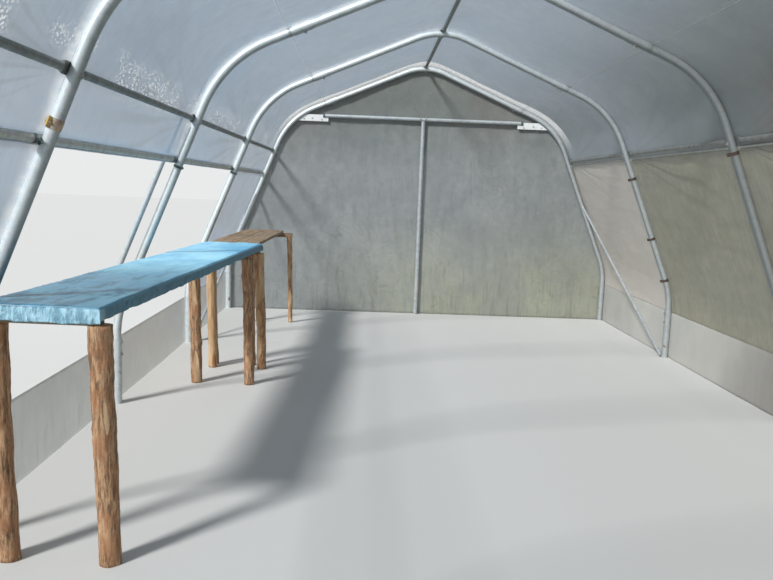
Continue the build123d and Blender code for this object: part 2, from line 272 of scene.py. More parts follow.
# Film finish
BROWN_STAIN = (0.17, 0.145, 0.115)
DAMP_GREEN = (0.4, 0.41, 0.29)
NEWER_FILM = (0.72, 0.67, 0.64)
WATER_BEADS = (0.92, 0.95, 0.97)
PRESSED_WHITE_AND_LIGHT = (0.95, 0.97, 0.98)
FILM_SHINE = {"IOR": 1.45, "Specular IOR Level": 0.4}
BEADS_Z = 1.85
DOUBLED_FROM = FAR_END - 0.34


def build_film(graph, given):
    """Film clouded by haze and damp, streaked, creased, and pressed white over the hoops, with painted shade on
    its right side, top and creases, and painted light where it is pressed.
    """
    where = graph.place()
    x, y, z = where.axes()
    cloud = where.noise(1.3, 4, 0.6).levels(0.34, 0.68)
    mottle = where.noise(11, 4, 0.65).levels(0.34, 0.68)
    runs = where.mapped((26, 26, 1.8)).noise(2.0, 3, 0.6).levels(0.46, 0.8)
    dirt = runs * (given["Dirt"] + z.levels(0.8, 0.0) * 0.25)
    # Tide lines where damp patches dried
    swirl = (where.noise(2.4, 2, 0.5, 0.3) * 15).maths("FRACT")
    lines = abs(swirl - 0.5).levels(0.1, 0.0) * (cloud * given["Tide lines"])
    # Beads of water that hang in patches over the left purlin
    near_purlin = abs(z - BEADS_Z).levels(0.12, 0.04)
    patches = where.noise(2.6, 3).levels(0.42, 0.54) * (near_purlin * given["Beads"]) * x.levels(0.2, -0.6)
    beads = where.cells(72).levels(0.46, 0.34) * patches
    # Creases that fan out from where the purlins cross the hoops, with painted shade along them
    past_hoop = (FAR_END - y).maths("MODULO", BAY)
    angle = (SIDE_PURLIN_Z - z).maths("ARCTAN2", past_hoop)
    fan = (angle * 52 + where.noise(1.3, 3) * 7).maths("SINE").levels(0.0, 1.0)
    reach = past_hoop.levels(0.06, 0.3) * past_hoop.levels(1.95, 0.7) * abs(angle).levels(0.5, 0.18)
    swell = where.mapped((1, 0.3, 3.4)).noise(2.2, 2, 0.5).levels(0.5, 0.78)
    folds = (fan * reach).larger(swell * 0.55) * given["Folds"]
    # Haze, with fine streaks round the tunnel, as the film was rolled, and paler over the left rail
    streaks = where.mapped((1.4, 34, 1.4)).noise(1.6, 4, 0.65).levels(0.32, 0.68)
    haze = (cloud * 0.5 + mottle * 0.25 + streaks * 0.25) * given["Haze amount"]
    haze = (haze + z.levels(1.84, 1.74) * x.levels(0.0, -1.0) * given["Pressed"]).clamped()
    # Painted shade on the right side and the top, tinted with brown and green stains, and damp low down
    side = x.levels(0.1, 1.75) * given["Shade"] * y.levels(3.4, -0.4, 0.55, 1.0)
    shade = side.larger(z.levels(1.5, 2.5) * given["Top shade"])
    stained = where.mapped((1, 1, 0.4)).noise(1.1, 3, 0.5).levels(0.42, 0.62)
    damp = z.levels(1.3, 0.1) * x.levels(-1.6, 0.8) * given["Damp"] * cloud.levels(0, 1, 0.5, 1.0)
    # Newer film in the far bay
    newer = y.levels(OPEN_FAR - 0.04, OPEN_FAR + 0.02) * given["Newer bay"]
    kept = (1.0 - newer * 1.5).clamped()
    # Film pressed white along the hoops, and doubled over the two ends, whitened and made more see-through as
    # painted light shining through it
    from_hoop = past_hoop.smaller(BAY - past_hoop)
    wrinkle = where.mapped((3, 1, 3)).noise(9, 3, 0.6)
    pressed = from_hoop.levels(0.1, 0.03) * wrinkle.levels(0.3, 0.65, 0.3, 1.0)
    pressed = pressed * (given["Pressed"] * x.levels(0.7, -0.4))
    doubled = abs(y).levels(DOUBLED_FROM, DOUBLED_FROM + 0.03) * given["Doubled"] * z.levels(1.85, 2.2)
    white = (doubled * wrinkle.levels(0.3, 0.55, 0.8, 1.0)).larger(pressed)
    colour = graph.layered(
        graph.mix(haze, given["Clean"], given["Haze"]),
        (shade, graph.mix(stained, given["Grime"], BROWN_STAIN)),
        (damp, DAMP_GREEN),
        (dirt.smaller(0.8), given["Grime"]),
        (lines, given["Grime"]),
        (newer, NEWER_FILM),
        # Painted shade in the creases
        (folds * kept, given["Grime"]),
        (beads, WATER_BEADS),
        (white, PRESSED_WHITE_AND_LIGHT),
    )
    # More opaque under dirt and painted shade; more see-through at the beads and where pressed white, as
    # painted light through it
    cover = given["Cover"] + (cloud - 0.5) * 0.1 + dirt * 0.3 + shade * 0.3
    cover = (cover - white.larger(beads) * 0.38).clamped()
    rough = 0.34 + (cloud + runs) * 0.12
    creases = where.mapped((1, 0.28, 2.2)).noise(4, 4, 0.55, 0.5)
    height = creases + beads * 0.05 - folds * 0.5
    return {"Base Color": colour, "Alpha": cover, "Roughness": rough, "Height": height}


film_group = shader_group(
    "weathered_film",
    build_film,
    colours=("Clean", "Haze", "Grime"),
    numbers=(
        "Haze amount", "Dirt", "Cover", "Doubled", "Shade", "Top shade", "Newer bay", "Tide lines", "Beads",
        "Folds", "Pressed", "Damp",
    ),
)
FILM_FINISHES = {
    "roof_film": {
        "Clean": (0.41, 0.53, 0.66), "Haze": (0.65, 0.74, 0.85), "Grime": (0.115, 0.12, 0.082),
        "Haze amount": 0.75, "Dirt": 0.05, "Cover": 0.58, "Doubled": 1.0, "Shade": 0.86, "Beads": 1.0,
        "Folds": 0.16, "Pressed": 0.6,
    },
    "side_film": {
        "Clean": (0.18, 0.18, 0.11), "Haze": (0.41, 0.39, 0.31), "Grime": (0.15, 0.15, 0.1),
        "Haze amount": 0.8, "Dirt": 0.08, "Cover": 0.72, "Newer bay": 0.6, "Folds": 0.8,
    },
    "wall_film": {
        "Clean": (0.19, 0.215, 0.22), "Haze": (0.37, 0.39, 0.385), "Grime": (0.13, 0.14, 0.115),
        "Haze amount": 0.8, "Dirt": 0.3, "Cover": 0.74, "Shade": 0.25, "Top shade": 0.55, "Tide lines": 0.28,
        "Damp": 0.75,
    },
    "skirt_film": {
        "Clean": (0.66, 0.67, 0.66), "Haze": (0.82, 0.83, 0.81), "Grime": (0.36, 0.34, 0.28),
        "Haze amount": 0.6, "Dirt": 0.12, "Cover": 0.7, "Shade": 0.85,
    },
}
# Paler looks for the outer faces: the inner faces are the same film, painted darker as shade
OUTSIDE_LOOKS = {
    "roof_film": {"Clean": (0.58, 0.64, 0.7), "Haze": (0.76, 0.8, 0.84), "Shade": 0.3, "Beads": 0.0},
    "side_film": {"Clean": (0.36, 0.37, 0.31), "Haze": (0.58, 0.57, 0.51), "Grime": (0.3, 0.3, 0.24)},
    "wall_film": {"Clean": (0.38, 0.41, 0.42), "Haze": (0.56, 0.585, 0.58), "Grime": (0.3, 0.31, 0.29)},
}
FILM_BUMPS = {
    "roof_film": (0.3, 0.01),
    "side_film": (0.6, 0.012),
    "wall_film": (0.25, 0.01),
    "skirt_film": (0.3, 0.008),
}


films = {}
for name, values in FILM_FINISHES.items():
    inside = outside = finish_material(name, film_group, values, FILM_BUMPS[name], FILM_SHINE)
    if name in OUTSIDE_LOOKS:
        paler = {**values, **OUTSIDE_LOOKS[name]}
        outside = finish_material(name + "_outside", film_group, paler, FILM_BUMPS[name], FILM_SHINE)
    films[name] = (inside, outside)

# Steel finish
RIGHT_SHADE_ZINC = (0.14, 0.14, 0.135)
LEE_SHADE = (0.1, 0.125, 0.13)
DARK_RUST = (0.09, 0.035, 0.015)
LIGHT_RUST = (0.3, 0.13, 0.05)


def build_steel(graph, given):
    """Zinc with its spangle and scuffs, spotted with rust, with painted shade on the right side and on the
    under and inner sides.
    """
    where = graph.place()
    x, y, z = where.axes()
    cloud = where.noise(24, 5, 0.65)
    dull = cloud.levels(0.34, 0.7)
    zinc = graph.mix(dull, given["Bright"], given["Dull"])
    zinc = graph.mix(0.12, zinc, where.cells(140, "Color"), "OVERLAY")
    scuffs = where.mapped((1, 0.4, 0.35)).noise(38, 3).levels(0.62, 0.72)
    # Painted shade on the right side, stronger towards the near end
    right_shade = x.levels(-0.2, 1.5) * given["Aged"] * y.levels(3.3, 0.8, 0.5, 1.0)
    # Painted shade on the under and inner sides of the tubes
    normal_x, _, normal_z = graph.add("ShaderNodeNewGeometry", "Normal").axes()
    lee_shade = normal_x * x.maths("SIGN") * -0.45 + normal_z * -0.89
    lee_shade = lee_shade.levels(0.1, 0.8) * given["Lee grime"]
    # Rust in spots, more of it near the ground
    limit = 0.74 - (given["Rust"] + z.levels(0.5, 0.05, 0.0, 0.35)) * 0.3
    rust = (where.noise(17, 6, 0.62) - limit).levels(0.0, 0.05)
    colour = graph.layered(
        zinc,
        (scuffs * 0.35, given["Bright"]),
        (right_shade, RIGHT_SHADE_ZINC),
        (lee_shade, LEE_SHADE),
        (rust * 0.85, graph.mix(where.noise(90, 3), DARK_RUST, LIGHT_RUST)),
    )
    rough = (given["Gloss"] + dull * 0.16 + rust * 0.4).clamped()
    metal = (given["Metal"] * (1.0 - rust)).clamped()
    return {"Base Color": colour, "Roughness": rough, "Metallic": metal, "Height": cloud * 0.5 + rust * 0.6}


STEEL_COLOURS = ("Bright", "Dull")
STEEL_NUMBERS = ("Rust", "Gloss", "Metal", "Aged", "Lee grime")
steel_group = shader_group("weathered_steel", build_steel, colours=STEEL_COLOURS, numbers=STEEL_NUMBERS)

# Each row gives the steel's colours and numbers in their order; numbers left off are 0
STEEL_FINISHES = {
    "hoop_tube": ((0.74, 0.8, 0.81), (0.6, 0.65, 0.66), 0.1, 0.38, 0.36, 0.66, 0.7),
    "galvanised_tube": ((0.6, 0.64, 0.66), (0.45, 0.49, 0.51), 0.1, 0.36, 0.45, 0.0, 0.4),
    "white_wire": ((0.92, 0.93, 0.92), (0.8, 0.81, 0.8), 0.0, 0.5, 0.0),
    "rail_tube": ((0.5, 0.51, 0.48), (0.4, 0.41, 0.38), 0.05, 0.4, 0.3),
    "grey_tube": ((0.18, 0.2, 0.19), (0.135, 0.15, 0.14), 0.12, 0.4, 0.3),
    "dull_tube": ((0.24, 0.25, 0.24), (0.18, 0.19, 0.18), 0.15, 0.4, 0.3),
    "white_plate": ((0.85, 0.86, 0.86), (0.76, 0.78, 0.78), 0.05, 0.4, 0.05),
    "batten_metal": ((0.6, 0.6, 0.6), (0.48, 0.49, 0.49), 0.0, 0.36, 0.8),
    "old_clamp": ((0.12, 0.09, 0.07), (0.07, 0.045, 0.035), 0.55, 0.5, 0.2),
    "worn_band": ((0.46, 0.36, 0.26), (0.3, 0.21, 0.14), 0.45, 0.5, 0.1),
    "dark_clamp": ((0.1, 0.15, 0.15), (0.05, 0.08, 0.08), 0.1, 0.4, 0.2),
    "bolt_zinc": ((0.5, 0.5, 0.48), (0.3, 0.3, 0.28), 0.3, 0.35, 0.8),
    "amber_clip": ((0.62, 0.42, 0.12), (0.5, 0.33, 0.09), 0.0, 0.35, 0.0),
}
steels = {
    name: finish_material(name, steel_group, zip(STEEL_COLOURS + STEEL_NUMBERS, row), (0.25, 0.002))
    for name, row in STEEL_FINISHES.items()
}

# Wood finish: Place is the point with its grain along Z
KNOT_BROWN = (0.09, 0.05, 0.03)


def build_wood(graph, given):
    """Sawn softwood with grain, grey patches and knots."""
    where = given["Place"]
    grain = where.mapped((14, 14, 0.9)).noise(4, 6, 0.65, 0.4)
    fibres = where.mapped((60, 60, 2.5)).noise(5, 4, 0.7)
    greyed = where.noise(3.5, 4, 0.6).levels(0.45, 0.7)
    knots = where.mapped((5, 5, 2)).cells(1.2).levels(0.16, 0.06)
    colour = graph.layered(
        graph.mix(grain.levels(0.35, 0.66), given["Light"], given["Dark"]),
        (greyed * 0.6, given["Grey"]),
        (knots * 0.7, KNOT_BROWN),
    )
    rough = grain.levels(0.2, 0.8, 0.62, 0.88)
    return {"Base Color": colour, "Roughness": rough, "Height": fibres * 0.6 + grain * 0.8}


wood_group = shader_group("sawn_wood", build_wood, places=("Place",), colours=("Light", "Dark", "Grey"))
WOOD = {"Light": (0.36, 0.26, 0.16), "Dark": (0.19, 0.12, 0.07), "Grey": (0.29, 0.245, 0.19)}
QUARTER_TURN = math.radians(90)
board_wood = finish_material("board_wood", wood_group, WOOD, (0.5, 0.002), grain_turn=(QUARTER_TURN, 0, 0))
bearer_wood = finish_material("bearer_wood", wood_group, WOOD, (0.5, 0.002), grain_turn=(0, QUARTER_TURN, 0))

# Bark finish: the poles carry how bare they are and their tone as attributes
PALE_WOOD = (0.62, 0.47, 0.33)


def build_bark(graph, given):
    """Rough bark that has peeled off to bare wood in ragged places."""
    where = graph.place()
    ragged = (graph.attribute("bare") + (where.noise(60, 4) - 0.5) * 0.9).levels(0.4, 0.6)
    rough_bark = where.mapped((1, 1, 0.16)).noise(75, 5, 0.75)
    red = where.noise(16, 4, 0.6).levels(0.42, 0.62, 0.0, 0.6)
    bark = graph.mix(rough_bark.levels(0.36, 0.62), given["Bark dark"], given["Bark light"])
    grain = where.mapped((10, 10, 0.6)).noise(8, 5, 0.6)
    wood = graph.mix(grain.levels(0.35, 0.65), given["Wood light"], given["Wood dark"])
    colour = graph.layered(bark, (red, given["Bark red"]), (ragged, wood))
    colour = graph.mix(graph.attribute("tone") * 0.5, colour, PALE_WOOD, "SOFT_LIGHT")
    height = (1.0 - ragged) * rough_bark + grain * 0.25
    return {"Base Color": colour, "Roughness": rough_bark.levels(0.2, 0.8, 0.7, 0.95), "Height": height}


BARK = {
    "Bark dark": (0.13, 0.07, 0.038), "Bark light": (0.56, 0.36, 0.21), "Bark red": (0.38, 0.18, 0.09),
    "Wood light": (0.62, 0.46, 0.29), "Wood dark": (0.42, 0.27, 0.15),
}
bark = finish_material("pole_bark", shader_group("pole_bark", build_bark, colours=BARK), BARK, (0.8, 0.004))

# Blue sheet finish
WEAVE_SCALE = 95.0
SHEET_END_Y = -1.08


def build_sheet(graph, given):
    """Woven plastic sheet, faded and dusty, with painted shade and smears at the near end, darker down its
    falls, and painted highlights on the crumpled near hem.
    """
    where = graph.place()
    _, y, z = where.axes()
    cloud = where.mapped((1.5, 0.8, 1)).noise(2.6, 4, 0.6).levels(0.36, 0.66)
    dust = where.mapped((3, 1, 1)).noise(9, 4, 0.65).levels(0.55, 0.75)
    smears = where.mapped((1, 0.35, 1)).noise(12, 4, 0.6, 0.8).levels(0.42, 0.68)
    hem = z.levels(BENCH_TOP - 0.004, BENCH_TOP - 0.014)
    # Painted shade at the near end, mottled with smears, and darker down the falls
    worn = (y.levels(0.9, -0.5) * smears.levels(0, 1, 0.72, 0.96)).larger(hem * 0.85)
    # Crumpled near hem, with painted highlights where the sheet is creased
    crumple = where.mapped((1.5, 1, 0.5), (0, 0.45, 0)).noise(38, 4, 0.65, 0.3).levels(0.36, 0.66)
    hem_highlight = hem * y.levels(SHEET_END_Y, SHEET_END_Y - 0.04) * crumple.levels(0, 1, 0.4, 1.0)
    colour = graph.layered(
        graph.mix(cloud, given["Deep"], given["Faded"]),
        (dust * 0.3, given["Dust"]),
        (worn, given["Worn"]),
        (hem_highlight, given["Hem"]),
    )
    threads = {"Vector": where, "Scale": WEAVE_SCALE, "Distortion": 0.4}
    height = where.mapped((1, 0.5, 1)).noise(16, 4, 0.6, 0.6) + crumple * hem * 0.7
    for direction in "XY":
        height = height + graph.add("ShaderNodeTexWave", "Fac", threads, bands_direction=direction) * 0.03
    return {"Base Color": colour, "Roughness": cloud.levels(0, 1, 0.38, 0.52), "Height": height}


SHEET = {
    "Deep": (0.16, 0.54, 0.82), "Faded": (0.42, 0.82, 1.0), "Dust": (0.6, 0.8, 0.9),
    "Worn": (0.026, 0.115, 0.175), "Hem": (0.45, 0.72, 0.84),
}
sheet_group = shader_group("plastic_sheet", build_sheet, colours=SHEET)
blue = finish_material("blue_sheet", sheet_group, SHEET, (0.6, 0.006), {"Specular IOR Level": 0.4})

# Frame parts that keep their own shape
FRAME_FINISHES = {
    "hoop_tube": [f"hoop_{i + 1}" for i in range(BAY_COUNT + 1)] + ["left_foot_tubes", "right_foot_tubes"],
    "galvanised_tube": [
        "guide_tube", "far_cross_bar", "near_cross_bar", "far_centre_post", "door_posts", "far_braces",
        "near_braces",
    ],
    "white_wire": ["left_roof_wire"],
    "rail_tube": ["right_roof_wire", "left_rail"],
    "dull_tube": ["right_purlin"],
    "grey_tube": ["left_purlin", "ridge_purlin"],
    "white_plate": ["far_gussets", "near_gussets"],
    "batten_metal": ["far_clamp_batten", "near_clamp_batten"],
}


def dress(piece, *finishes):
    """Give a piece one material, or a second one for the faces that look outwards."""
    piece.data.materials.clear()
    for material in finishes:
        piece.data.materials.append(material)


for finish, parts in FRAME_FINISHES.items():
    for part in parts:
        dress(nodes[part], steels[finish])
for part in ("bench_bearers", "second_bench_bearers"):
    dress(nodes[part], bearer_wood)


def add_piece(name, mesh, slot, *finishes, stands_for=None):
    """Piece made of a mesh, riding on the one body. It may stand for a node of the solids."""
    piece = bpy.data.objects.new(name, mesh)
    scene.collection.objects.link(piece)
    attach(piece, ROOT)
    if stands_for:
        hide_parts(stands_for)
    if finishes:
        dress(piece, *finishes)
    return piece


# Hoop shape
PROFILE_STEP = 0.02


def hoop_shape():
    """Points and outward normals along the hoop shape, right foot over the apex to the left foot."""
    right = [Vector((FOOT_X, 0)), Vector((FOOT_X, KNEE_Z)), Vector(SHOULDER)]
    corners = [*right, Vector((0, APEX_Z)), *[Vector((-p.x, p.y)) for p in reversed(right)]]
    bends = [KNEE_RADIUS, SHOULDER_RADIUS, APEX_RADIUS, SHOULDER_RADIUS, KNEE_RADIUS]
    points = []
    normals = []

    def straight(start, end):
        run = end - start
        count = max(2, int(run.length / PROFILE_STEP))
        for i in range(count):
            points.append(start + run * (i / count))
            normals.append(Vector((run.y, -run.x)).normalized())

    start = corners[0]
    for corner, after, radius in zip(corners[1:-1], corners[2:], bends):
        into = (corner - start).normalized()
        out = (after - corner).normalized()
        turn = math.acos(into.dot(out))
        cut = radius * math.tan(turn / 2)
        first = corner - into * cut
        straight(start, first)
        centre = first + Vector((-into.y, into.x)) * radius
        count = max(4, int(turn * radius / PROFILE_STEP))
        for i in range(count):
            arm = first - centre
            arm.rotate(Matrix.Rotation(turn * i / count, 2))
            points.append(centre + arm)
            normals.append(arm.normalized())
        start = corner + out * cut
    straight(start, corners[-1])
    points.append(corners[-1])
    normals.append(Vector((-1, 0)))
    return points, normals


RIGHT_TO_LEFT, OUTWARD = hoop_shape()
SHAPE_COLUMNS = np.array([(*p, *n) for p, n in zip(RIGHT_TO_LEFT, OUTWARD)]).T
ARC = np.cumsum([0.0, *[(b - a).length for a, b in zip(RIGHT_TO_LEFT, RIGHT_TO_LEFT[1:])]])
LEG_NORMAL = Vector((SHOULDER[1] - KNEE_Z, FOOT_X - SHOULDER[0])).normalized()
ROOF_NORMAL = Vector((APEX_Z - SHOULDER[1], SHOULDER[0])).normalized()


def arc_at(x, z):
    """Distance along the hoop shape of the point nearest to a place."""
    gaps = [(p - Vector((x, z))).length for p in RIGHT_TO_LEFT]
    return ARC[int(np.argmin(gaps))]


def shape_at(arc):
    """Point and outward normal at a distance along the hoop shape."""
    index = int(np.searchsorted(ARC, arc))
    return RIGHT_TO_LEFT[index], OUTWARD[index]


def leg_x(z):
    """Half width of the leg's centre line between knee and shoulder."""
    return FOOT_X - (FOOT_X - SHOULDER[0]) * (z - KNEE_Z) / (SHOULDER[1] - KNEE_Z)


def roof_z(x):
    """Height of the straight roof slope's centre line."""
    return APEX_Z - (APEX_Z - SHOULDER[1]) * abs(x) / SHOULDER[0]


# Lines that hold the film out from the hoops: place along the shape and how far short of the purlins
WIRE_SHORT = 0.0028
RIDGE_ARC = arc_at(0, RIDGE_PURLIN_Z)
SIDE_PURLIN_ARCS = [arc_at(side * leg_x(SIDE_PURLIN_Z), SIDE_PURLIN_Z) for side in (1, -1)]
WIRE_ARCS = [arc_at(side * ROOF_WIRE_X, roof_z(ROOF_WIRE_X)) for side in (1, -1)]
SKIRT_ARCS = [arc_at(side * FOOT_X, SKIRT_TOP - 0.01) for side in (1, -1)]
HELD_LINES = [(arc, 0.0) for arc in (RIDGE_ARC, *SIDE_PURLIN_ARCS, *SKIRT_ARCS)]
HELD_LINES += [(arc, WIRE_SHORT) for arc in WIRE_ARCS]


# Grids of points, and the sheets made from them
def smooth(value, low, high):
    """Smooth step from 0 at low to 1 at high, for arrays."""
    t = np.clip((value - low) / (high - low), 0, 1)
    return t * t * (3 - 2 * t)


def ripples(a, b, wavelength, seed, count=7):
    """Soft random relief from -1 to 1 over two coordinates, the same every run."""
    draw = np.random.default_rng(seed)
    total = np.zeros(np.broadcast(a, b).shape)
    for _ in range(count):
        heading = draw.uniform(0, math.tau)
        length = wavelength * draw.uniform(0.7, 1.5)
        phase = draw.uniform(0, math.tau)
        total += np.sin((a * math.cos(heading) + b * math.sin(heading)) * math.tau / length + phase)
    return total / math.sqrt(count * 2)


def spaced(start, end, coarse, centres=(), fine=0.0, reach=0.0):
    """Rising places from start to end, closer together within reach of the centres."""
    places = [start]
    while places[-1] < end - 1e-6:
        here = places[-1]
        near = min((abs(here - c) for c in centres), default=reach)
        places.append(here + (fine if near < reach else coarse))
    places[-1] = end
    return np.array(places)


def from_hoops(y):
    """Distance of each place along the tunnel from the nearest hoop."""
    return np.min([np.abs(y - place) for place in HOOP_PLACES], axis=0)


def grid_of(x, y, z):
    """Grid of points from coordinates that run over its rows, its columns or both."""
    return np.stack(np.broadcast_arrays(x, y, z), -1)


def sheet_solid(name, grid, outward, thickness, two_finishes=False):
    """Closed thin solid from a grid of points (rows, columns, 3) and their outward normals.

    With two finishes, the faces that look outwards take the second material.
    """
    rows, columns = grid.shape[:2]
    outer = grid + outward * thickness
    points = np.concatenate([grid.reshape(-1, 3), outer.reshape(-1, 3)])
    index = np.arange(rows * columns).reshape(rows, columns)
    a, b, c, d = index[:-1, :-1], index[:-1, 1:], index[1:, 1:], index[1:, :-1]
    inside = np.stack([a, b, c, d], -1).reshape(-1, 4)
    rim = np.concatenate([index[0, :], index[1:, -1], index[-1, -2::-1], index[-2:0:-1, 0]])
    after = np.roll(rim, -1)
    edge = np.stack([after, rim, rim + rows * columns, after + rows * columns], -1)
    mesh = bpy.data.meshes.new(name)
    faces = np.concatenate([inside, inside[:, ::-1] + rows * columns, edge])
    mesh.from_pydata(points.tolist(), [], faces.tolist())
    if two_finishes:
        for polygon in mesh.polygons[len(inside):2 * len(inside)]:
            polygon.material_index = 1
    work = bmesh.new()
    work.from_mesh(mesh)
    bmesh.ops.remove_doubles(work, verts=work.verts, dist=1e-6)
    bmesh.ops.recalc_face_normals(work, faces=work.faces)
    work.to_mesh(mesh)
    work.free()
    mesh.shade_smooth()
    return mesh


# Film over the roof and sides
def film_piece(name, grid, outward, slot, finish, stands_for=None):
    """Sheet of film. It lets the light through, so it casts no shadow of its own."""
    mesh = sheet_solid(name, grid, outward, FILM_THICKNESS, True)
    piece = add_piece(name, mesh, slot, *films[finish], stands_for=stands_for)
    piece.visible_shadow = False
    return piece


FILM_SLACK = 0.0068
FILM_SAG = 0.006
CREASE_LIMITS = (-0.008, 0.006)


def film_relief(arc, y, seed):
    """How far the film stands in or out from the purlins' line, over place along the shape and the tunnel."""
    arc, y = arc[:, None], y[None, :]
    from_hoop = from_hoops(y)
    slack = np.full(np.broadcast(arc, y).shape, FILM_SLACK)
    loose = np.ones_like(slack)
    for line, short in HELD_LINES:
        held = 1 - smooth(np.abs(arc - line), 0.02, 0.16)
        slack = slack * (1 - held) + short * held
        loose = loose * smooth(np.abs(arc - line), 0.03, 0.25)
    slack = slack * (1 - smooth(np.abs(y), FAR_END - 0.12, FAR_END - 0.03))
    sag = FILM_SAG * np.sin(np.clip(from_hoop, 0, 1) * math.pi / 2) * loose
    soft = 0.0022 * ripples(arc, y, 0.45, seed) * smooth(from_hoop, 0.04, 0.3) * loose
    # Small puckers close to the hoops
    pulled = 0.0011 * ripples(arc * 4.5, y * 0.7, 0.5, seed + 1) * smooth(from_hoop, 0.03, 0.09)
    pulled = pulled * (1 - smooth(from_hoop, 0.2, 0.6)) * loose
    # Creases that fan out from where the purlins cross the hoops
    fans = np.zeros_like(slack)
    for line in (RIDGE_ARC, *SIDE_PURLIN_ARCS):
        for place in HOOP_PLACES:
            away = np.hypot(arc - line, y - place)
            angle = np.arctan2(arc - line, y - place)
            crease = np.sin(angle * 9 + seed) + 0.6 * np.sin(angle * 16 + 2.1 * seed)
            fans += crease * np.exp(-away / 0.3) * smooth(away, 0.06, 0.2)
    fans = 0.0036 * fans * smooth(from_hoop, 0.035, 0.12) * smooth(np.abs(arc - RIDGE_ARC), 0.03, 0.1)
    for line in SIDE_PURLIN_ARCS:
        fans = fans * smooth(np.abs(arc - line), 0.025, 0.08)
    creases = np.clip(soft + pulled + fans, *CREASE_LIMITS) * smooth(from_hoop, 0.03, 0.1)
    return creases - slack - sag


def roof_keep(p):
    return p.y > (RIGHT_SEAM_Z - FILM_LAP if p.x > 0 else RAIL_Z + RAIL_RADIUS)


def right_keep(p):
    return p.x > 0 and SKIRT_TOP - FILM_LAP < p.y < RIGHT_SEAM_Z


def left_keep(p):
    return p.x < 0 and SKIRT_TOP - FILM_LAP < p.y < RAIL_Z - 0.005


STRIP_ROW = 0.036
UNDER_COVER = 0.0016


def film_strip(node, finish, keep, start, end, seed, inset=0.0):
    """Film over the part of the hoop shape where keep is true, between two places along the tunnel.

    Above the right seam it is set in by the inset, to pass under the roof cover.
    """
    kept = [arc for arc, p in zip(ARC, RIGHT_TO_LEFT) if keep(p)]
    arc = np.linspace(kept[0], kept[-1], max(3, int((kept[-1] - kept[0]) / STRIP_ROW)))
    x, z, out_x, out_z = (np.interp(arc, ARC, column)[:, None] for column in SHAPE_COLUMNS)
    y = spaced(start, end, 0.05, HOOP_PLACES, 0.016, 0.15)
    tucked = inset * smooth(z, RIGHT_SEAM_Z - 0.3, RIGHT_SEAM_Z - 0.05)
    out = FILM_OFFSET + FILM_GAP - tucked + film_relief(arc, y, seed)
    grid = grid_of(x + out_x * out, y, z + out_z * out)
    piece = film_piece(node + "_sheet", grid, grid_of(out_x, 0, out_z), "film", finish, node)


film_strip("roof_cover", "roof_film", roof_keep, *FILM_ENDS, seed=3)
film_strip("right_side_film", "side_film", right_keep, *FILM_ENDS, seed=5, inset=UNDER_COVER)
film_strip("left_side_film_far", "roof_film", left_keep, OPEN_FAR - TUBE_RADIUS, FILM_ENDS[1], seed=7)
film_strip("left_side_film_near", "roof_film", left_keep, FILM_ENDS[0], OPEN_NEAR + TUBE_RADIUS, seed=9)


# Skirts: film hanging to the ground along both sides
SKIRT_INSET = 0.0018
SKIRT_SLACK = 0.004


def skirt_sheet(node, side):
    """Skirt of one side, a little slack between the hoops."""
    y = spaced(*FILM_ENDS, 0.04, HOOP_PLACES, 0.02, 0.1)[None, :]
    z = np.linspace(FILM_FOOT, SKIRT_TOP, 22)[:, None]
    from_hoop = from_hoops(y)
    slack = SKIRT_SLACK * np.sin(np.clip(from_hoop, 0, 1) * math.pi / 2)
    waves = 0.0016 * ripples(y, z * 0.4, 0.3, 21 + side)
    creases = 0.0011 * ripples(y, z * 0.15, 0.06, 25 + side) * smooth(z, 0.1, 0.4)
    loose = smooth(from_hoop, 0.02, 0.15) * smooth(z, 0.4, 0.33)
    relief = -slack * smooth(z, 0.4, 0.2) - FILM_GAP + (waves + creases) * loose
    grid = grid_of(side * (FOOT_X + FILM_OFFSET - SKIRT_INSET + relief), y, z)
    piece = film_piece(node + "_sheet", grid, np.array((side, 0, 0)), "skirt_film", "skirt_film", node)


skirt_sheet("left_skirt", -1)
skirt_sheet("right_skirt", 1)

# End walls: film whose edge lies just inside the roof cover
WALL_OFFSET = 0.0286
WALL_REACH = FILM_OFFSET - 0.001
WALL_EDGE = (SHAPE_COLUMNS[:2] + SHAPE_COLUMNS[2:] * WALL_REACH).T
WALL_TOP = WALL_EDGE[:, 1].max() - 0.001
RIGHT_EDGE = WALL_EDGE[[p.x >= 0 for p in RIGHT_TO_LEFT]]
WALL_GRID = 0.03
PAST_EDGE = 3.0


def wall_sheet(node, side, low, high, z_low, z_high, seed):
    """Film of the far wall (side 1) or the near one (-1), cut off at two widths and two heights.

    Soft folds run across it to the hoop.
    """
    z = np.linspace(z_low, z_high, max(6, int((z_high - z_low) / WALL_GRID)))[:, None]
    half = np.interp(z, RIGHT_EDGE[:, 1], RIGHT_EDGE[:, 0])
    left, right = np.maximum(low, -half), np.minimum(high, half)
    width = float((right - left).max())
    x = left + (right - left) * np.linspace(0, 1, max(8, int(width / WALL_GRID)))
    inside = smooth(np.minimum(half - np.abs(x), WALL_TOP - z), 0.03, 0.25)
    folds = 0.0035 * ripples(x * 0.8, z * 0.35, 0.5, seed) + 0.002 * ripples(x * 2.0, z, 0.35, seed + 1)
    out = WALL_OFFSET + (0.004 + np.clip(folds, -0.0055, 0.006)) * inside
    hoop, end = ("hoop_1", FAR_END) if side > 0 else ("hoop_6", NEAR_END)
    grid = grid_of(x, end + side * out, z)
    piece = film_piece(node + "_sheet", grid, np.array((0, side, 0)), "film", "wall_film", node)


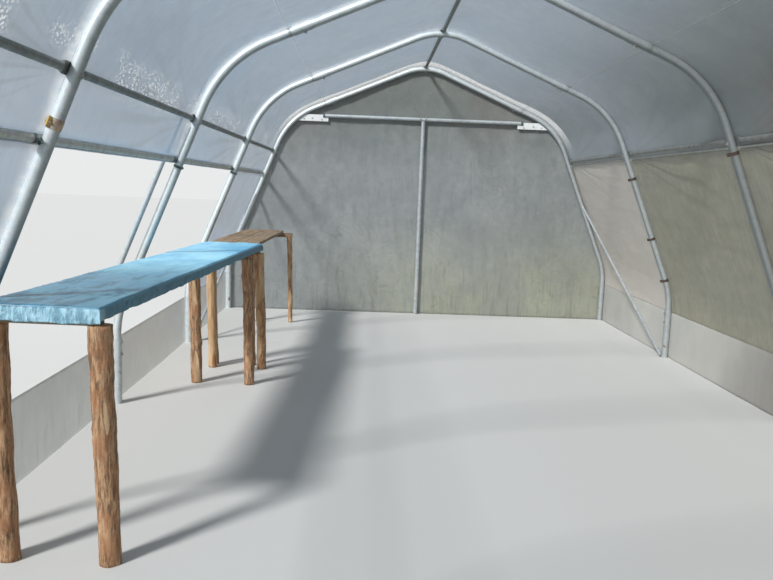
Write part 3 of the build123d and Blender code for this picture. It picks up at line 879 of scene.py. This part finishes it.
wall_sheet("far_wall_film", 1, -PAST_EDGE, PAST_EDGE, FILM_FOOT, WALL_TOP, seed=31)
wall_sheet("near_wall_film_left", -1, -PAST_EDGE, -DOOR_EDGE, FILM_FOOT, BAR_Z, seed=33)
wall_sheet("near_wall_film_right", -1, DOOR_EDGE, PAST_EDGE, FILM_FOOT, BAR_Z, seed=35)
wall_sheet("near_wall_film_top", -1, -PAST_EDGE, PAST_EDGE, BAR_Z + 0.001, WALL_TOP, seed=37)


# Small hardware: one stamp mesh each, copied to its places through Geometry Nodes
def turned_mesh(work, name):
    """Mesh of what was worked up, its faces turned outwards."""
    bmesh.ops.recalc_face_normals(work, faces=work.faces)
    mesh = bpy.data.meshes.new(name)
    work.to_mesh(mesh)
    work.free()
    return mesh


def round_angles(count):
    return [math.tau * i / count for i in range(count)]


class Shape:
    """Collects simple solids into one mesh."""

    def __init__(self):
        self.work = bmesh.new()

    def skin(self, rings, closed=False):
        """Faces along rings of points, which close up on themselves or end in flat faces."""
        rings = [[self.work.verts.new(point) for point in ring] for ring in rings]
        following = rings[1:] + rings[:1] if closed else rings[1:]
        for low, high in zip(rings, following):
            for i in range(len(low)):
                j = (i + 1) % len(low)
                self.work.faces.new((low[i], low[j], high[j], high[i]))
        if not closed:
            self.work.faces.new(list(reversed(rings[0])))
            self.work.faces.new(rings[-1])
        return self

    def lathe(self, profile, sides, foot=(0, 0, 0), direction=(0, 0, 1)):
        """Solid of revolution: profile is (radius, height) pairs from the bottom to the top."""
        turn = Vector(direction).to_track_quat("Z", "Y").to_matrix()
        return self.skin([
            [
                Vector(foot) + turn @ Vector((radius * math.cos(angle), radius * math.sin(angle), height))
                for angle in round_angles(sides)
            ]
            for radius, height in profile
        ])

    def swept(self, section, angles, closed=False):
        """Section of (distance from the Z axis, height) points, carried round the axis."""
        rings = [[(reach * math.cos(a), reach * math.sin(a), z) for reach, z in section] for a in angles]
        return self.skin(rings, closed)

    def box(self, low, high):
        low, high = Vector(low), Vector(high)
        for vertex in bmesh.ops.create_cube(self.work, size=1)["verts"]:
            vertex.co = Vector(vertex.co[i] * (high - low)[i] + (high + low)[i] / 2 for i in range(3))
        return self

    def mesh(self, name):
        return turned_mesh(self.work, name)


def bolt_stamp(head=0.0085, height=0.007, washer=0.013):
    """Hexagon head on a washer, standing on its washer along Z."""
    shape = Shape()
    shape.lathe([(washer * 0.94, -0.001), (washer, 0.0002), (washer, 0.0016), (washer * 0.92, 0.0022)], 20)
    shape.lathe([(head, 0.0015), (head, height * 0.82), (head * 0.86, height)], 6)
    shape.lathe([(head * 0.5, height * 0.6), (head * 0.5, height + 0.003), (head * 0.4, height + 0.0042)], 12)
    return shape.mesh("bolt_stamp")


CLAMP_OPENING = 0.16
CLAMP_SLACK = 0.0004


def clamp_stamp(radius, width, thickness, ear=0.022, shank=0.0034, nut=0.0068):
    """Strap clamp round a tube along Z, its ears and bolt on the +X side."""
    shape = Shape()
    outer, half, edge = radius + thickness, width / 2, thickness * 0.3
    strap = [(radius, -half), (outer, edge - half), (outer, half - edge), (radius, half)]
    shape.swept(strap, np.linspace(CLAMP_OPENING, math.tau - CLAMP_OPENING, 27))
    gap = radius * math.sin(CLAMP_OPENING)
    inner = radius * math.cos(CLAMP_OPENING)
    middle = (inner + ear * 0.6, 0, 0)
    for side in (-1, 1):
        low = min(side * gap, side * (gap + thickness))
        shape.box((inner, low, -half), (inner + ear, low + thickness, half))
    shape.lathe([(shank, -gap - 0.011), (shank, gap + 0.011)], 10, middle, (0, 1, 0))
    for side in (1, -1):
        shape.lathe([(nut, gap + thickness), (nut, gap + thickness + 0.005)], 6, middle, (0, side, 0))
    return shape.mesh("clamp_stamp")


def wire_loop(radius, gauge, sides=24, around=6):
    """Round wire in a closed loop about the Z axis."""
    section = [(radius + gauge * math.cos(turn), gauge * math.sin(turn)) for turn in round_angles(around)]
    return Shape().swept(section, round_angles(sides), closed=True).mesh("wire_tie")


def copies_tree():
    """Geometry Nodes: a part at every point, turned by the point's turn attribute, as one mesh."""
    tree = bpy.data.node_groups.new("copies", "GeometryNodeTree")
    for name, kind in (("Seats", "Geometry"), ("Part", "Object"), ("Finish", "Material")):
        tree.interface.new_socket(name, in_out="INPUT", socket_type="NodeSocket" + kind)
    tree.interface.new_socket("Made", in_out="OUTPUT", socket_type="NodeSocketGeometry")
    entry = tree.nodes.new("NodeGroupInput")
    part = tree.nodes.new("GeometryNodeObjectInfo")
    turn = tree.nodes.new("GeometryNodeInputNamedAttribute")
    turn.data_type = "FLOAT_VECTOR"
    turn.inputs["Name"].default_value = "turn"
    place = tree.nodes.new("GeometryNodeInstanceOnPoints")
    realize = tree.nodes.new("GeometryNodeRealizeInstances")
    paint = tree.nodes.new("GeometryNodeSetMaterial")
    leave = tree.nodes.new("NodeGroupOutput")
    for giver, output, taker, key in (
        (entry, "Part", part, "Object"),
        (entry, "Seats", place, "Points"),
        (part, "Geometry", place, "Instance"),
        (turn, "Attribute", place, "Rotation"),
        (place, "Instances", realize, "Geometry"),
        (realize, "Geometry", paint, "Geometry"),
        (entry, "Finish", paint, "Material"),
        (paint, "Geometry", leave, "Made"),
    ):
        tree.links.new(giver.outputs[output], taker.inputs[key])
    return tree


COPIES = copies_tree()


def stamped(name, stamp, places, finish, slot):
    """One piece of copies of a stamp mesh at (point, direction of its Z, spin) places."""
    seats = bpy.data.meshes.new(name + "_seats")
    seats.from_pydata([tuple(point) for point, _, _ in places], [], [])
    turns = seats.attributes.new("turn", "FLOAT_VECTOR", "POINT")
    for item, (_, direction, spin) in zip(turns.data, places):
        quat = Vector(direction).to_track_quat("Z", "Y") @ Matrix.Rotation(spin, 3, "Z").to_quaternion()
        item.vector = tuple(quat.to_euler())
    holder = bpy.data.objects.new(name + "_seats", seats)
    part = bpy.data.objects.new(name + "_part", stamp)
    scene.collection.objects.link(holder)
    scene.collection.objects.link(part)
    modifier = holder.modifiers.new("copies", "NODES")
    modifier.node_group = COPIES
    sockets = {item.name: item.identifier for item in COPIES.interface.items_tree if item.in_out == "INPUT"}
    modifier[sockets["Part"]] = part
    modifier[sockets["Finish"]] = steels[finish]
    bpy.context.view_layer.update()
    evaluated = holder.evaluated_get(bpy.context.evaluated_depsgraph_get())
    mesh = bpy.data.meshes.new_from_object(evaluated)
    mesh.name = name
    bpy.data.objects.remove(holder)
    bpy.data.objects.remove(part)
    add_piece(name, mesh, slot)


# Bolts through the hoops
BOLT_SEAT = TUBE_RADIUS - 0.0015
ROOF_BOLT_SEAT = TUBE_RADIUS + 0.002
FOOT_BOLT_HEIGHTS = (0.32, 0.4)
FOOT_TUBE_FACE = FOOT_X - 0.0275


def hoop_bolt(x, z, y, reach, spin):
    """Bolt on the hoop shape's inner side, moved inwards from the centre line by reach."""
    centre, normal = shape_at(arc_at(x, z))
    inward = Vector((-normal.x, 0, -normal.y))
    return Vector((centre.x, y, centre.y)) + inward * reach, inward, spin


hoop_bolts = []
foot_bolts = []
for y in HOOP_PLACES:
    for side in (1, -1):
        hoop_bolts.append(hoop_bolt(side * leg_x(SIDE_PURLIN_Z), SIDE_PURLIN_Z, y, BOLT_SEAT, spin=0.3))
        hoop_bolts.append(hoop_bolt(side * ROOF_BOLT_X, roof_z(ROOF_BOLT_X), y, ROOF_BOLT_SEAT, spin=0.8))
        for z in FOOT_BOLT_HEIGHTS:
            foot_bolts.append(((side * FOOT_TUBE_FACE, y, z), (-side, 0, 0), 0.5))
    hoop_bolts.append(((0, y, RIDGE_PURLIN_Z - BOLT_SEAT), (0, 0, -1), 0.1))
stamped("hoop_bolts", bolt_stamp(), hoop_bolts, "bolt_zinc", "galvanised_tube")
stamped("foot_bolts", bolt_stamp(), foot_bolts, "bolt_zinc", "galvanised_tube")

# Flanged screws down the battens that clamp the cover at both ends
SOLID_FILM = 0.003
BATTEN_THICKNESS = 0.012
SCREW_SEAT = FILM_OFFSET + SOLID_FILM + CLEARANCE + BATTEN_THICKNESS - 0.0005
BATTEN_FOOT = 1.1
FIRST_SCREW = 0.04
SCREW_COUNT = 21
batten_screws = []
for end in (FAR_END, NEAR_END):
    low, high = (arc_at(side * leg_x(BATTEN_FOOT), BATTEN_FOOT) for side in (1, -1))
    for arc in np.linspace(low + FIRST_SCREW, high - FIRST_SCREW, SCREW_COUNT):
        centre, normal = shape_at(arc)
        outward = Vector((normal.x, 0, normal.y))
        batten_screws.append((Vector((centre.x, end, centre.y)) + outward * SCREW_SEAT, outward, arc * 9))
screw_stamp = bolt_stamp(head=0.005, height=0.0045, washer=0.009)
stamped("batten_screws", screw_stamp, batten_screws, "bolt_zinc", "batten")

# Wire ties that hold the roof wires down on the hoops, two turns of wire each
tie_places = [
    ((side * x, y, roof_z(x)), (-side * ROOF_NORMAL.y, 0, ROOF_NORMAL.x), 0.0)
    for y in HOOP_PLACES
    for side in (1, -1)
    for x in (ROOF_WIRE_X - 0.004, ROOF_WIRE_X + 0.004)
]
tie_stamp = wire_loop(radius=TUBE_RADIUS + 0.0016, gauge=0.0013)
stamped("wire_ties", tie_stamp, tie_places, "grey_tube", "wire")

# Clamps that hold the rail on the hoops, and old strap clamps left on the right legs
# Old clamps: which hoop, counted from 0 at the far end, their height, and their turn in degrees
OLD_CLAMPS = ((1, 1.586, 235), (1, 1.065, 225), (1, 0.70, 240), (2, 1.72, 230))
RAIL_CLAMP_SHIFTS = (-0.042, 0.042)
RAIL_REACH = TUBE_RADIUS + CLEARANCE + RAIL_RADIUS
rail_x = -(leg_x(RAIL_Z) + LEG_NORMAL.x * RAIL_REACH)
rail_z = RAIL_Z + LEG_NORMAL.y * RAIL_REACH


def leg_clamp(side, y, z, degrees):
    """Place of a clamp round the leg of a hoop."""
    return (side * leg_x(z), y, z), (-side * LEG_NORMAL.y, 0, LEG_NORMAL.x), math.radians(degrees)


rail_clamps = [
    ((rail_x, y + shift, rail_z), (0, 1, 0), math.radians(200))
    for y in HOOP_PLACES[1:-1]
    for shift in RAIL_CLAMP_SHIFTS
]
rail_leg_clamps = [leg_clamp(-1, y, RAIL_Z - 0.03, -20) for y in HOOP_PLACES[1:3]]
old_clamps = [leg_clamp(1, HOOP_PLACES[hoop], z, degrees) for hoop, z, degrees in OLD_CLAMPS]
rail_stamp = clamp_stamp(RAIL_RADIUS + CLAMP_SLACK, width=0.022, thickness=0.0024)
stamped("rail_clamps", rail_stamp, rail_clamps, "dark_clamp", "grey_tube")
rail_leg_stamp = clamp_stamp(TUBE_RADIUS + CLAMP_SLACK, width=0.016, thickness=0.0024)
stamped("rail_leg_clamps", rail_leg_stamp, rail_leg_clamps, "dark_clamp", "grey_tube")
old_clamp_stamp = clamp_stamp(TUBE_RADIUS + CLAMP_SLACK, width=0.022, thickness=0.0025, ear=0.018)
stamped("old_clamps", old_clamp_stamp, old_clamps, "old_clamp", "galvanised_tube")

# Rusted band on one leg, with an amber plastic clip caught behind it
band = clamp_stamp(TUBE_RADIUS + CLAMP_SLACK, width=0.042, thickness=0.0016, ear=0.008)
stamped("rusted_band", band, [leg_clamp(-1, OPEN_NEAR, 1.605, 150)], "worn_band", "galvanised_tube")
clip = Shape().box((-0.0025, -0.008, -0.016), (0.0025, 0.008, 0.016))
for low in (-0.007, 0.003):
    clip.box((0.0015, low, -0.013), (0.006, low + 0.004, 0.013))
clip_point, clip_direction, clip_spin = leg_clamp(-1, OPEN_NEAR - 0.029, 1.612, 60)
clip_seat = [(Vector(clip_point) - Vector((0.014, 0, 0)), clip_direction, clip_spin)]
stamped("amber_clip", clip.mesh("amber_clip_part"), clip_seat, "amber_clip", "grey_tube")

# Cross bars: caps on their ends, straps on the posts, bolts in the gussets
BAR_CAP = [(0.0206, 0), (0.0216, 0.001), (0.0216, 0.02), (0.019, 0.0225)]
BAR_CAP_X = BAR_HALF - 0.0195
DOOR_POST_X = 0.6
GUSSET_FACE = 0.0028
GUSSET_BOLTS = ((1.13, BAR_Z - 0.045), (1.24, BAR_Z - 0.03), (1.33, BAR_Z - 0.04))
caps = Shape()
for y in (FAR_END, NEAR_END):
    for side in (1, -1):
        caps.lathe(BAR_CAP, 24, (side * BAR_CAP_X, y, BAR_Z), (side, 0, 0))
add_piece("bar_caps", caps.mesh("bar_caps"), "grey_tube", steels["dark_clamp"])

post_straps = [
    ((x + shift, y, BAR_Z), (1, 0, 0), QUARTER_TURN)
    for x, y in ((0, FAR_END), (-DOOR_POST_X, NEAR_END), (DOOR_POST_X, NEAR_END))
    for shift in (-0.03, 0.03)
]
strap_stamp = clamp_stamp(BAR_RADIUS + CLAMP_SLACK, width=0.02, thickness=0.002, ear=0.02)
stamped("post_straps", strap_stamp, post_straps, "bolt_zinc", "grey_tube")

gusset_bolts = [
    ((side * x, y + face * GUSSET_FACE, z), (0, face, 0), x * 5)
    for y, face in ((FAR_END, -1), (NEAR_END, 1))
    for side in (1, -1)
    for x, z in GUSSET_BOLTS
]
gusset_stamp = bolt_stamp(head=0.006, height=0.005, washer=0.009)
stamped("gusset_bolts", gusset_stamp, gusset_bolts, "galvanised_tube", "white_plate")


# Film round the left rail, and the strip down the right seam
WRAP_DEGREES = (32, 292)


def rail_wrap():
    """Edge of the roof cover, round the outside of the rail and back under it."""
    y = np.sort([*spaced(*FILM_ENDS, 0.05), *HOOP_PLACES[1:-1]])[None, :]
    angle = np.radians(np.linspace(*WRAP_DEGREES, 26))[:, None]
    tuck = 0.0012 + 0.0014 * (1 + ripples(angle * 0.02, y, 0.09, 51)) / 2
    tuck = tuck + 0.0012 * (1 + ripples(angle * 0.04, y, 0.5, 53)) / 2
    radius = RAIL_RADIUS + FILM_GAP + tuck + 0.0035 * (1 - smooth(angle, 0.6, 1.2))
    grid = grid_of(rail_x + radius * np.cos(angle), y, rail_z + radius * np.sin(angle))
    piece = film_piece("rail_wrap", grid, grid_of(np.cos(angle), 0, np.sin(angle)), "film", "roof_film")


def seam_strip():
    """Strip that clamps the seam of the right side under the purlin, one length a bay."""
    z = RIGHT_SEAM_Z - 0.012
    centre = Vector((leg_x(z), z)) + LEG_NORMAL * (FILM_OFFSET - 0.0105)
    half_thickness, half_width, gap = 0.0012, 0.006, 0.03
    shape = Shape()
    for far, near in zip(HOOP_PLACES, HOOP_PLACES[1:]):
        shape.box((-half_thickness, near + gap, -half_width), (half_thickness, far - gap, half_width))
    mesh = shape.mesh("seam_strip")
    lean = Matrix.Rotation(-math.atan2(LEG_NORMAL.y, LEG_NORMAL.x), 4, "Y")
    mesh.transform(Matrix.Translation((centre.x, 0, centre.y)) @ lean)
    add_piece("seam_strip", mesh, "galvanised_tube", steels["rail_tube"])


rail_wrap()
seam_strip()

# Benches
BENCH_TURN = math.radians(-2.4)
BENCH_LENGTH = 3.23
BENCH_WIDTH = 0.42
BENCH_OVERRUN = 0.12
BENCH_BACK = leg_x(BENCH_TOP) - (TUBE_RADIUS + CLEARANCE) / LEG_NORMAL.x
SHEET_MARGIN = 0.009
SECOND_LENGTH = 2.12
SECOND_WIDTH = 0.38
SECOND_TOP = 0.952
SECOND_RIGHT = 0.69 - FOOT_X
SECOND_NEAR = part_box("second_bench_boards")[0].y
POLE_LEAN = 0.03
BOARD_THICKNESS = 0.025
BOARD_GAP = 0.006


def bench_place(x, y, z):
    """Point given from the first bench's right near corner: x to the left is negative, y along the boards."""
    cosine, sine = math.cos(BENCH_TURN), math.sin(BENCH_TURN)
    x, y = x + BENCH_WIDTH + SHEET_MARGIN, y - BENCH_OVERRUN
    return Vector((-BENCH_BACK + x * cosine - y * sine, OPEN_NEAR + x * sine + y * cosine, z))


def second_place(x, y, z):
    """Point given from the second bench's right near corner."""
    return Vector((SECOND_RIGHT + x, SECOND_NEAR + y, z))


def swayed(bend, wave, share):
    """Sideways bend of a pole over its share of height."""
    return 0.006 * bend * np.sin(share * math.pi) + 0.002 * wave * np.sin(share * math.tau)


def pole_surface(draw, radius, top, angle, height, bareness):
    """How far a pole's bark or bare wood stands out at each angle and height, and how bare it is."""
    east, north = np.cos(angle), np.sin(angle)

    def bumps(across, up, wavelength):
        return ripples(across, up, wavelength, int(draw.integers(1e6)))

    lumps = 0.0022 * bumps(east * 0.06 + north * 0.03, height * 0.6 + north * 0.03, 0.09)
    peel = bumps(east * 0.05, height * 0.4 + north * 0.05, 0.11)
    bare = 1 / (1 + np.exp(-(peel - 1.2 + 2.4 * bareness) * 9))
    knots = np.zeros_like(angle)
    for _ in range(5):
        knot_angle, knot_height = draw.uniform(0, math.tau), draw.uniform(0.08, 0.95) * top
        gap = np.hypot(np.angle(np.exp(1j * (angle - knot_angle))) * radius, height - knot_height)
        knots += 0.006 * np.exp(-((gap / 0.013) ** 2))
    crust = np.abs(bumps(east * 0.3, height + north * 0.3, 0.03))
    return lumps + knots + 0.0016 * (1 - bare) * crust - 0.0018 * bare, bare


def bark_poles(node, spots, radius, top, seed):
    """Poles with bark, knots and peeled places, in one mesh.

    spots are (top, foot, how bare, tone, thickness).
    """
    draw = np.random.default_rng(seed)
    around, up = 40, 60
    angle, height = np.meshgrid(round_angles(around), np.linspace(0, top, up))
    share = height / top
    points, faces, bare_values, tones = [], [], [], []
    for head, foot, bareness, tone, thickness in spots:
        bend = draw.uniform(-1, 1, 4)
        relief, bare = pole_surface(draw, radius, top, angle, height, bareness)
        reach = np.minimum(radius * thickness * (0.92 + 0.07 * share) + relief, radius * 1.14)
        x = foot.x + (head.x - foot.x) * share + swayed(bend[0], bend[1], share) + reach * np.cos(angle)
        y = foot.y + (head.y - foot.y) * share + swayed(bend[2], bend[3], share) + reach * np.sin(angle)
        rings = len(points) + np.arange(around * up).reshape(up, around)
        points += grid_of(x, y, height).reshape(-1, 3).tolist()
        bare_values += bare.reshape(-1).tolist()
        tones += [tone] * (around * up)
        for low, high in zip(rings, rings[1:]):
            faces += np.stack([low, np.roll(low, -1), np.roll(high, -1), high], -1).tolist()
        faces += [rings[0, ::-1].tolist(), rings[-1].tolist()]
    mesh = bpy.data.meshes.new(node + "_bark")
    mesh.from_pydata(points, [], faces)
    mesh.shade_smooth()
    for label, values in (("bare", bare_values), ("tone", tones)):
        mesh.attributes.new(label, "FLOAT", "POINT").data.foreach_set("value", np.array(values, np.float32))
    add_piece(node + "_bark", mesh, "bark_pole", bark, stands_for=node)


def pole_spots(place, rows, looks):
    """Tops and feet of the poles under a bench, the feet a little nearer the aisle.

    rows are (place along the bench, places across it).
    """
    pairs = [(x, y) for y, xs in rows for x in xs]
    return [(place(x, y, 0), place(x + POLE_LEAN, y, 0), *look) for (x, y), look in zip(pairs, looks)]


# Poles' places from the near right corner of their bench
FIRST_INSET = 0.03
MIDDLE_POLES = 2.72
FIRST_POLES_ACROSS = (-0.004, -0.38)
SECOND_INSET = 0.06

# How bare, what tone and how thick each pole is, from the near end, the aisle side first
FIRST_POLE_LOOKS = [
    (0.08, 0.35, 1.08), (0.1, 0.3, 1.04),
    (0.1, 0.0, 0.98), (0.3, 0.1, 1.04),
    (0.5, 0.4, 0.94), (0.85, 0.6, 0.94),
]
SECOND_POLE_LOOKS = [(0.3, 0.2, 1.0), (0.5, 0.3, 1.0), (0.5, 0.5, 1.06), (0.4, 0.4, 1.0)]
first_rows = [(y, FIRST_POLES_ACROSS) for y in (FIRST_INSET, MIDDLE_POLES, BENCH_LENGTH - FIRST_INSET)]
back = SECOND_INSET - SECOND_WIDTH
second_rows = [(SECOND_INSET, (-0.03, back)), (SECOND_LENGTH - SECOND_INSET, (0.07, back))]
first_spots = pole_spots(bench_place, first_rows, FIRST_POLE_LOOKS)
second_spots = pole_spots(second_place, second_rows, SECOND_POLE_LOOKS)
bark_poles("bench_poles", first_spots, radius=0.04, top=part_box("bench_bearers")[0].z, seed=61)
bark_poles("second_bench_poles", second_spots, radius=0.024, top=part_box("second_bench_bearers")[0].z, seed=67)


def sawn_boards(node, place, width, length, count, top, seed):
    """Boards side by side, with worn edges and a little warp."""
    each = (width - BOARD_GAP * (count - 1)) / count
    low = top - BOARD_THICKNESS
    work = bmesh.new()
    for i in range(count):
        left = -each - i * (each + BOARD_GAP)
        for vertex in bmesh.ops.create_cube(work, size=1)["verts"]:
            share = vertex.co + Vector((0.5, 0.5, 0.5))
            vertex.co = place(left + each * share.x, length * share.y, low + (top - low) * share.z)
    bmesh.ops.bevel(work, geom=list(work.edges), offset=0.0022, segments=2, affect="EDGES", profile=0.6)
    long_edges = [edge for edge in work.edges if edge.calc_length() > 0.25]
    bmesh.ops.subdivide_edges(work, edges=long_edges, cuts=24, use_grid_fill=True)
    for vertex in work.verts:
        x, y, z = vertex.co
        dent = noise.noise(Vector((x * 3 + seed, y * 2.2, z * 3)))
        chip = noise.noise(Vector((x * 22, y * 14 + seed, z * 22)))
        vertex.co += Vector((0.0012 * dent, 0.0008 * chip, -0.0006 * abs(chip)))
    add_piece(node + "_sawn", turned_mesh(work, node + "_sawn"), "board", board_wood, stands_for=node)


first_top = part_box("bench_boards")[1].z
sawn_boards("bench_boards", bench_place, BENCH_WIDTH, BENCH_LENGTH, count=3, top=first_top, seed=3)
sawn_boards("second_bench_boards", second_place, SECOND_WIDTH, SECOND_LENGTH, count=2, top=SECOND_TOP, seed=8)

# Blue sheet over the first bench, its edges folded down
SHEET_FALL = 0.046
SHEET_BEND = 0.006
SHEET_OVER = SHEET_FALL + SHEET_BEND
SHEET_THICKNESS = 0.0011
SHEET_SEAT = 0.0026
NEAR_HEM_EXTRA = 0.2
HALF_WIDTH = BENCH_WIDTH / 2 + SHEET_MARGIN - 0.002
HALF_LENGTH = BENCH_LENGTH / 2 + SHEET_MARGIN - 0.002


def sheet_steps(half, step):
    """Places across the flat sheet, closer together where its edges fold down."""
    count = len(np.arange(-half + SHEET_BEND, half - SHEET_BEND + step, step))
    edge = np.linspace(0, SHEET_OVER, 12)[1:]
    fold = half - SHEET_BEND
    return np.concatenate([-fold - edge[::-1], np.linspace(-fold, fold, count), fold + edge])


def folded(t, half):
    """Where places across the flat sheet come to lie once its edge is folded down, and how far they drop."""
    past = np.abs(t) - (half - SHEET_BEND)
    turn = np.clip(past / SHEET_BEND, 0, math.pi / 2)
    straight = np.maximum(past - SHEET_BEND * math.pi / 2, 0)
    flat = np.where(past > 0, SHEET_BEND * np.sin(turn), past)
    drop = np.where(past > 0, SHEET_BEND * (1 - np.cos(turn)) + straight, 0)
    return np.sign(t) * (half - SHEET_BEND + flat), drop


def bench_cover():
    """Sheet with gathers down its falls, a pleat at each corner and puckers on top."""
    u = sheet_steps(HALF_WIDTH, 0.0075)[:, None]
    v = sheet_steps(HALF_LENGTH, 0.009)[None, :]
    side_u, side_v = np.sign(u), np.sign(v)
    x, drop_x = folded(u, HALF_WIDTH)
    y, drop_y = folded(v, HALF_LENGTH)
    drop = np.maximum(drop_x, drop_y)
    x, y = (np.array(values) for values in np.broadcast_arrays(x, y))
    hang_x = smooth(drop_x, 0.004, 0.03)
    hang_y = smooth(drop_y, 0.004, 0.03)
    gathers_x = ripples(y, drop * 0.4, 0.06, 71) + 0.6 * ripples(y, drop * 0.8, 0.022, 83)
    gathers_y = ripples(x, drop * 0.4, 0.05, 73) + 0.7 * ripples(x, drop * 0.8, 0.02, 85)
    free = np.where(u > 0, 1.0, 0.3)
    x += side_u * hang_x * free * np.clip(0.0022 + 0.0026 * gathers_x, 0, 0.008)
    y += side_v * hang_y * np.clip(0.0026 + 0.0034 * gathers_y, 0, 0.01)
    # Spare sheet at the corners stands out in a small pleat
    share = drop_x / np.maximum(drop_x + drop_y, 1e-6)
    pleat = np.sin(math.pi * share) ** 2 * smooth(np.minimum(drop_x, drop_y), 0.003, 0.02)
    x += side_u * 0.006 * pleat * free
    y += side_v * 0.008 * pleat
    uneven = 0.07 * ripples(x, y, 0.11, 87) * smooth(drop, 0.02, 0.05)
    drop = drop * (1 + uneven + NEAR_HEM_EXTRA * hang_y * (v < 0))
    puckers = 0.0016 * (1 + ripples(x * 0.8, y * 0.3, 0.13, 75)) + 0.0009 * (1 + ripples(x, y, 0.05, 77))
    ridges = np.maximum(0, 1 - np.abs(ripples(x * 0.6, y * 0.9, 0.3, 79)) * 2.5) ** 2
    puckers = puckers + 0.0026 * ridges * smooth(ripples(x, y, 0.6, 81), -0.2, 0.8)
    z = BENCH_TOP - SHEET_SEAT - drop + puckers * (1 - smooth(drop, 0.0, 0.01))
    flat_points = grid_of(x - BENCH_WIDTH / 2, y + BENCH_LENGTH / 2, z)
    placed = np.array([tuple(bench_place(*q)) for q in flat_points.reshape(-1, 3)]).reshape(flat_points.shape)
    outward = np.cross(np.gradient(placed, axis=0), np.gradient(placed, axis=1))
    outward = outward / np.maximum(np.linalg.norm(outward, axis=-1, keepdims=True), 1e-9)
    mesh = sheet_solid("bench_cover", placed, outward, SHEET_THICKNESS)
    piece = add_piece("bench_cover", mesh, "blue_sheet", blue, stands_for="bench_sheet")


bench_cover()

# Floor, lights and background
FLOOR_REACH = 60
FLOOR_COLOUR = (0.62, 0.62, 0.6, 1)
SKY_LIGHT = (0.92, 0.95, 1.0)
BACKDROP = (0.815, 0.83, 0.832)
SUN_DIRECTION = (0.62, 0.72, -0.82)


def build_stage():
    """Pale floor, soft sky and one broad sun."""
    mesh = bpy.data.meshes.new("floor")
    corners = [(FLOOR_REACH * x, FLOOR_REACH * y, 0) for x, y in ((-1, -1), (1, -1), (1, 1), (-1, 1))]
    mesh.from_pydata(corners, [], [(0, 1, 2, 3)])
    floor = bpy.data.objects.new("floor", mesh)
    scene.collection.objects.link(floor)
    material = bpy.data.materials.new("floor")
    material.use_nodes = True
    shader = material.node_tree.nodes["Principled BSDF"]
    shader.inputs["Base Color"].default_value = FLOOR_COLOUR
    shader.inputs["Roughness"].default_value = 0.9
    mesh.materials.append(material)

    world = bpy.data.worlds.new("studio")
    scene.world = world
    world.use_nodes = True
    graph = Graph(world.node_tree)
    background = world.node_tree.nodes["Background"]
    path = graph.node("ShaderNodeLightPath").outputs
    rays = [Field(graph, path[f"Is {ray} Ray"]) for ray in ("Camera", "Transmission", "Glossy")]
    seen = rays[0].larger(rays[1]).larger(rays[2]).clamped()
    graph.set(background.inputs["Color"], graph.mix(seen, SKY_LIGHT, BACKDROP))
    graph.set(background.inputs["Strength"], seen.levels(0, 1, 0.56, 1.0))

    sun = bpy.data.lights.new("sun", "SUN")
    sun.energy = 3.3
    sun.angle = math.radians(9)
    lamp = bpy.data.objects.new("sun", sun)
    lamp.rotation_euler = Vector(SUN_DIRECTION).to_track_quat("-Z", "Y").to_euler()
    scene.collection.objects.link(lamp)


build_stage()
scene.view_settings.view_transform = "Standard"
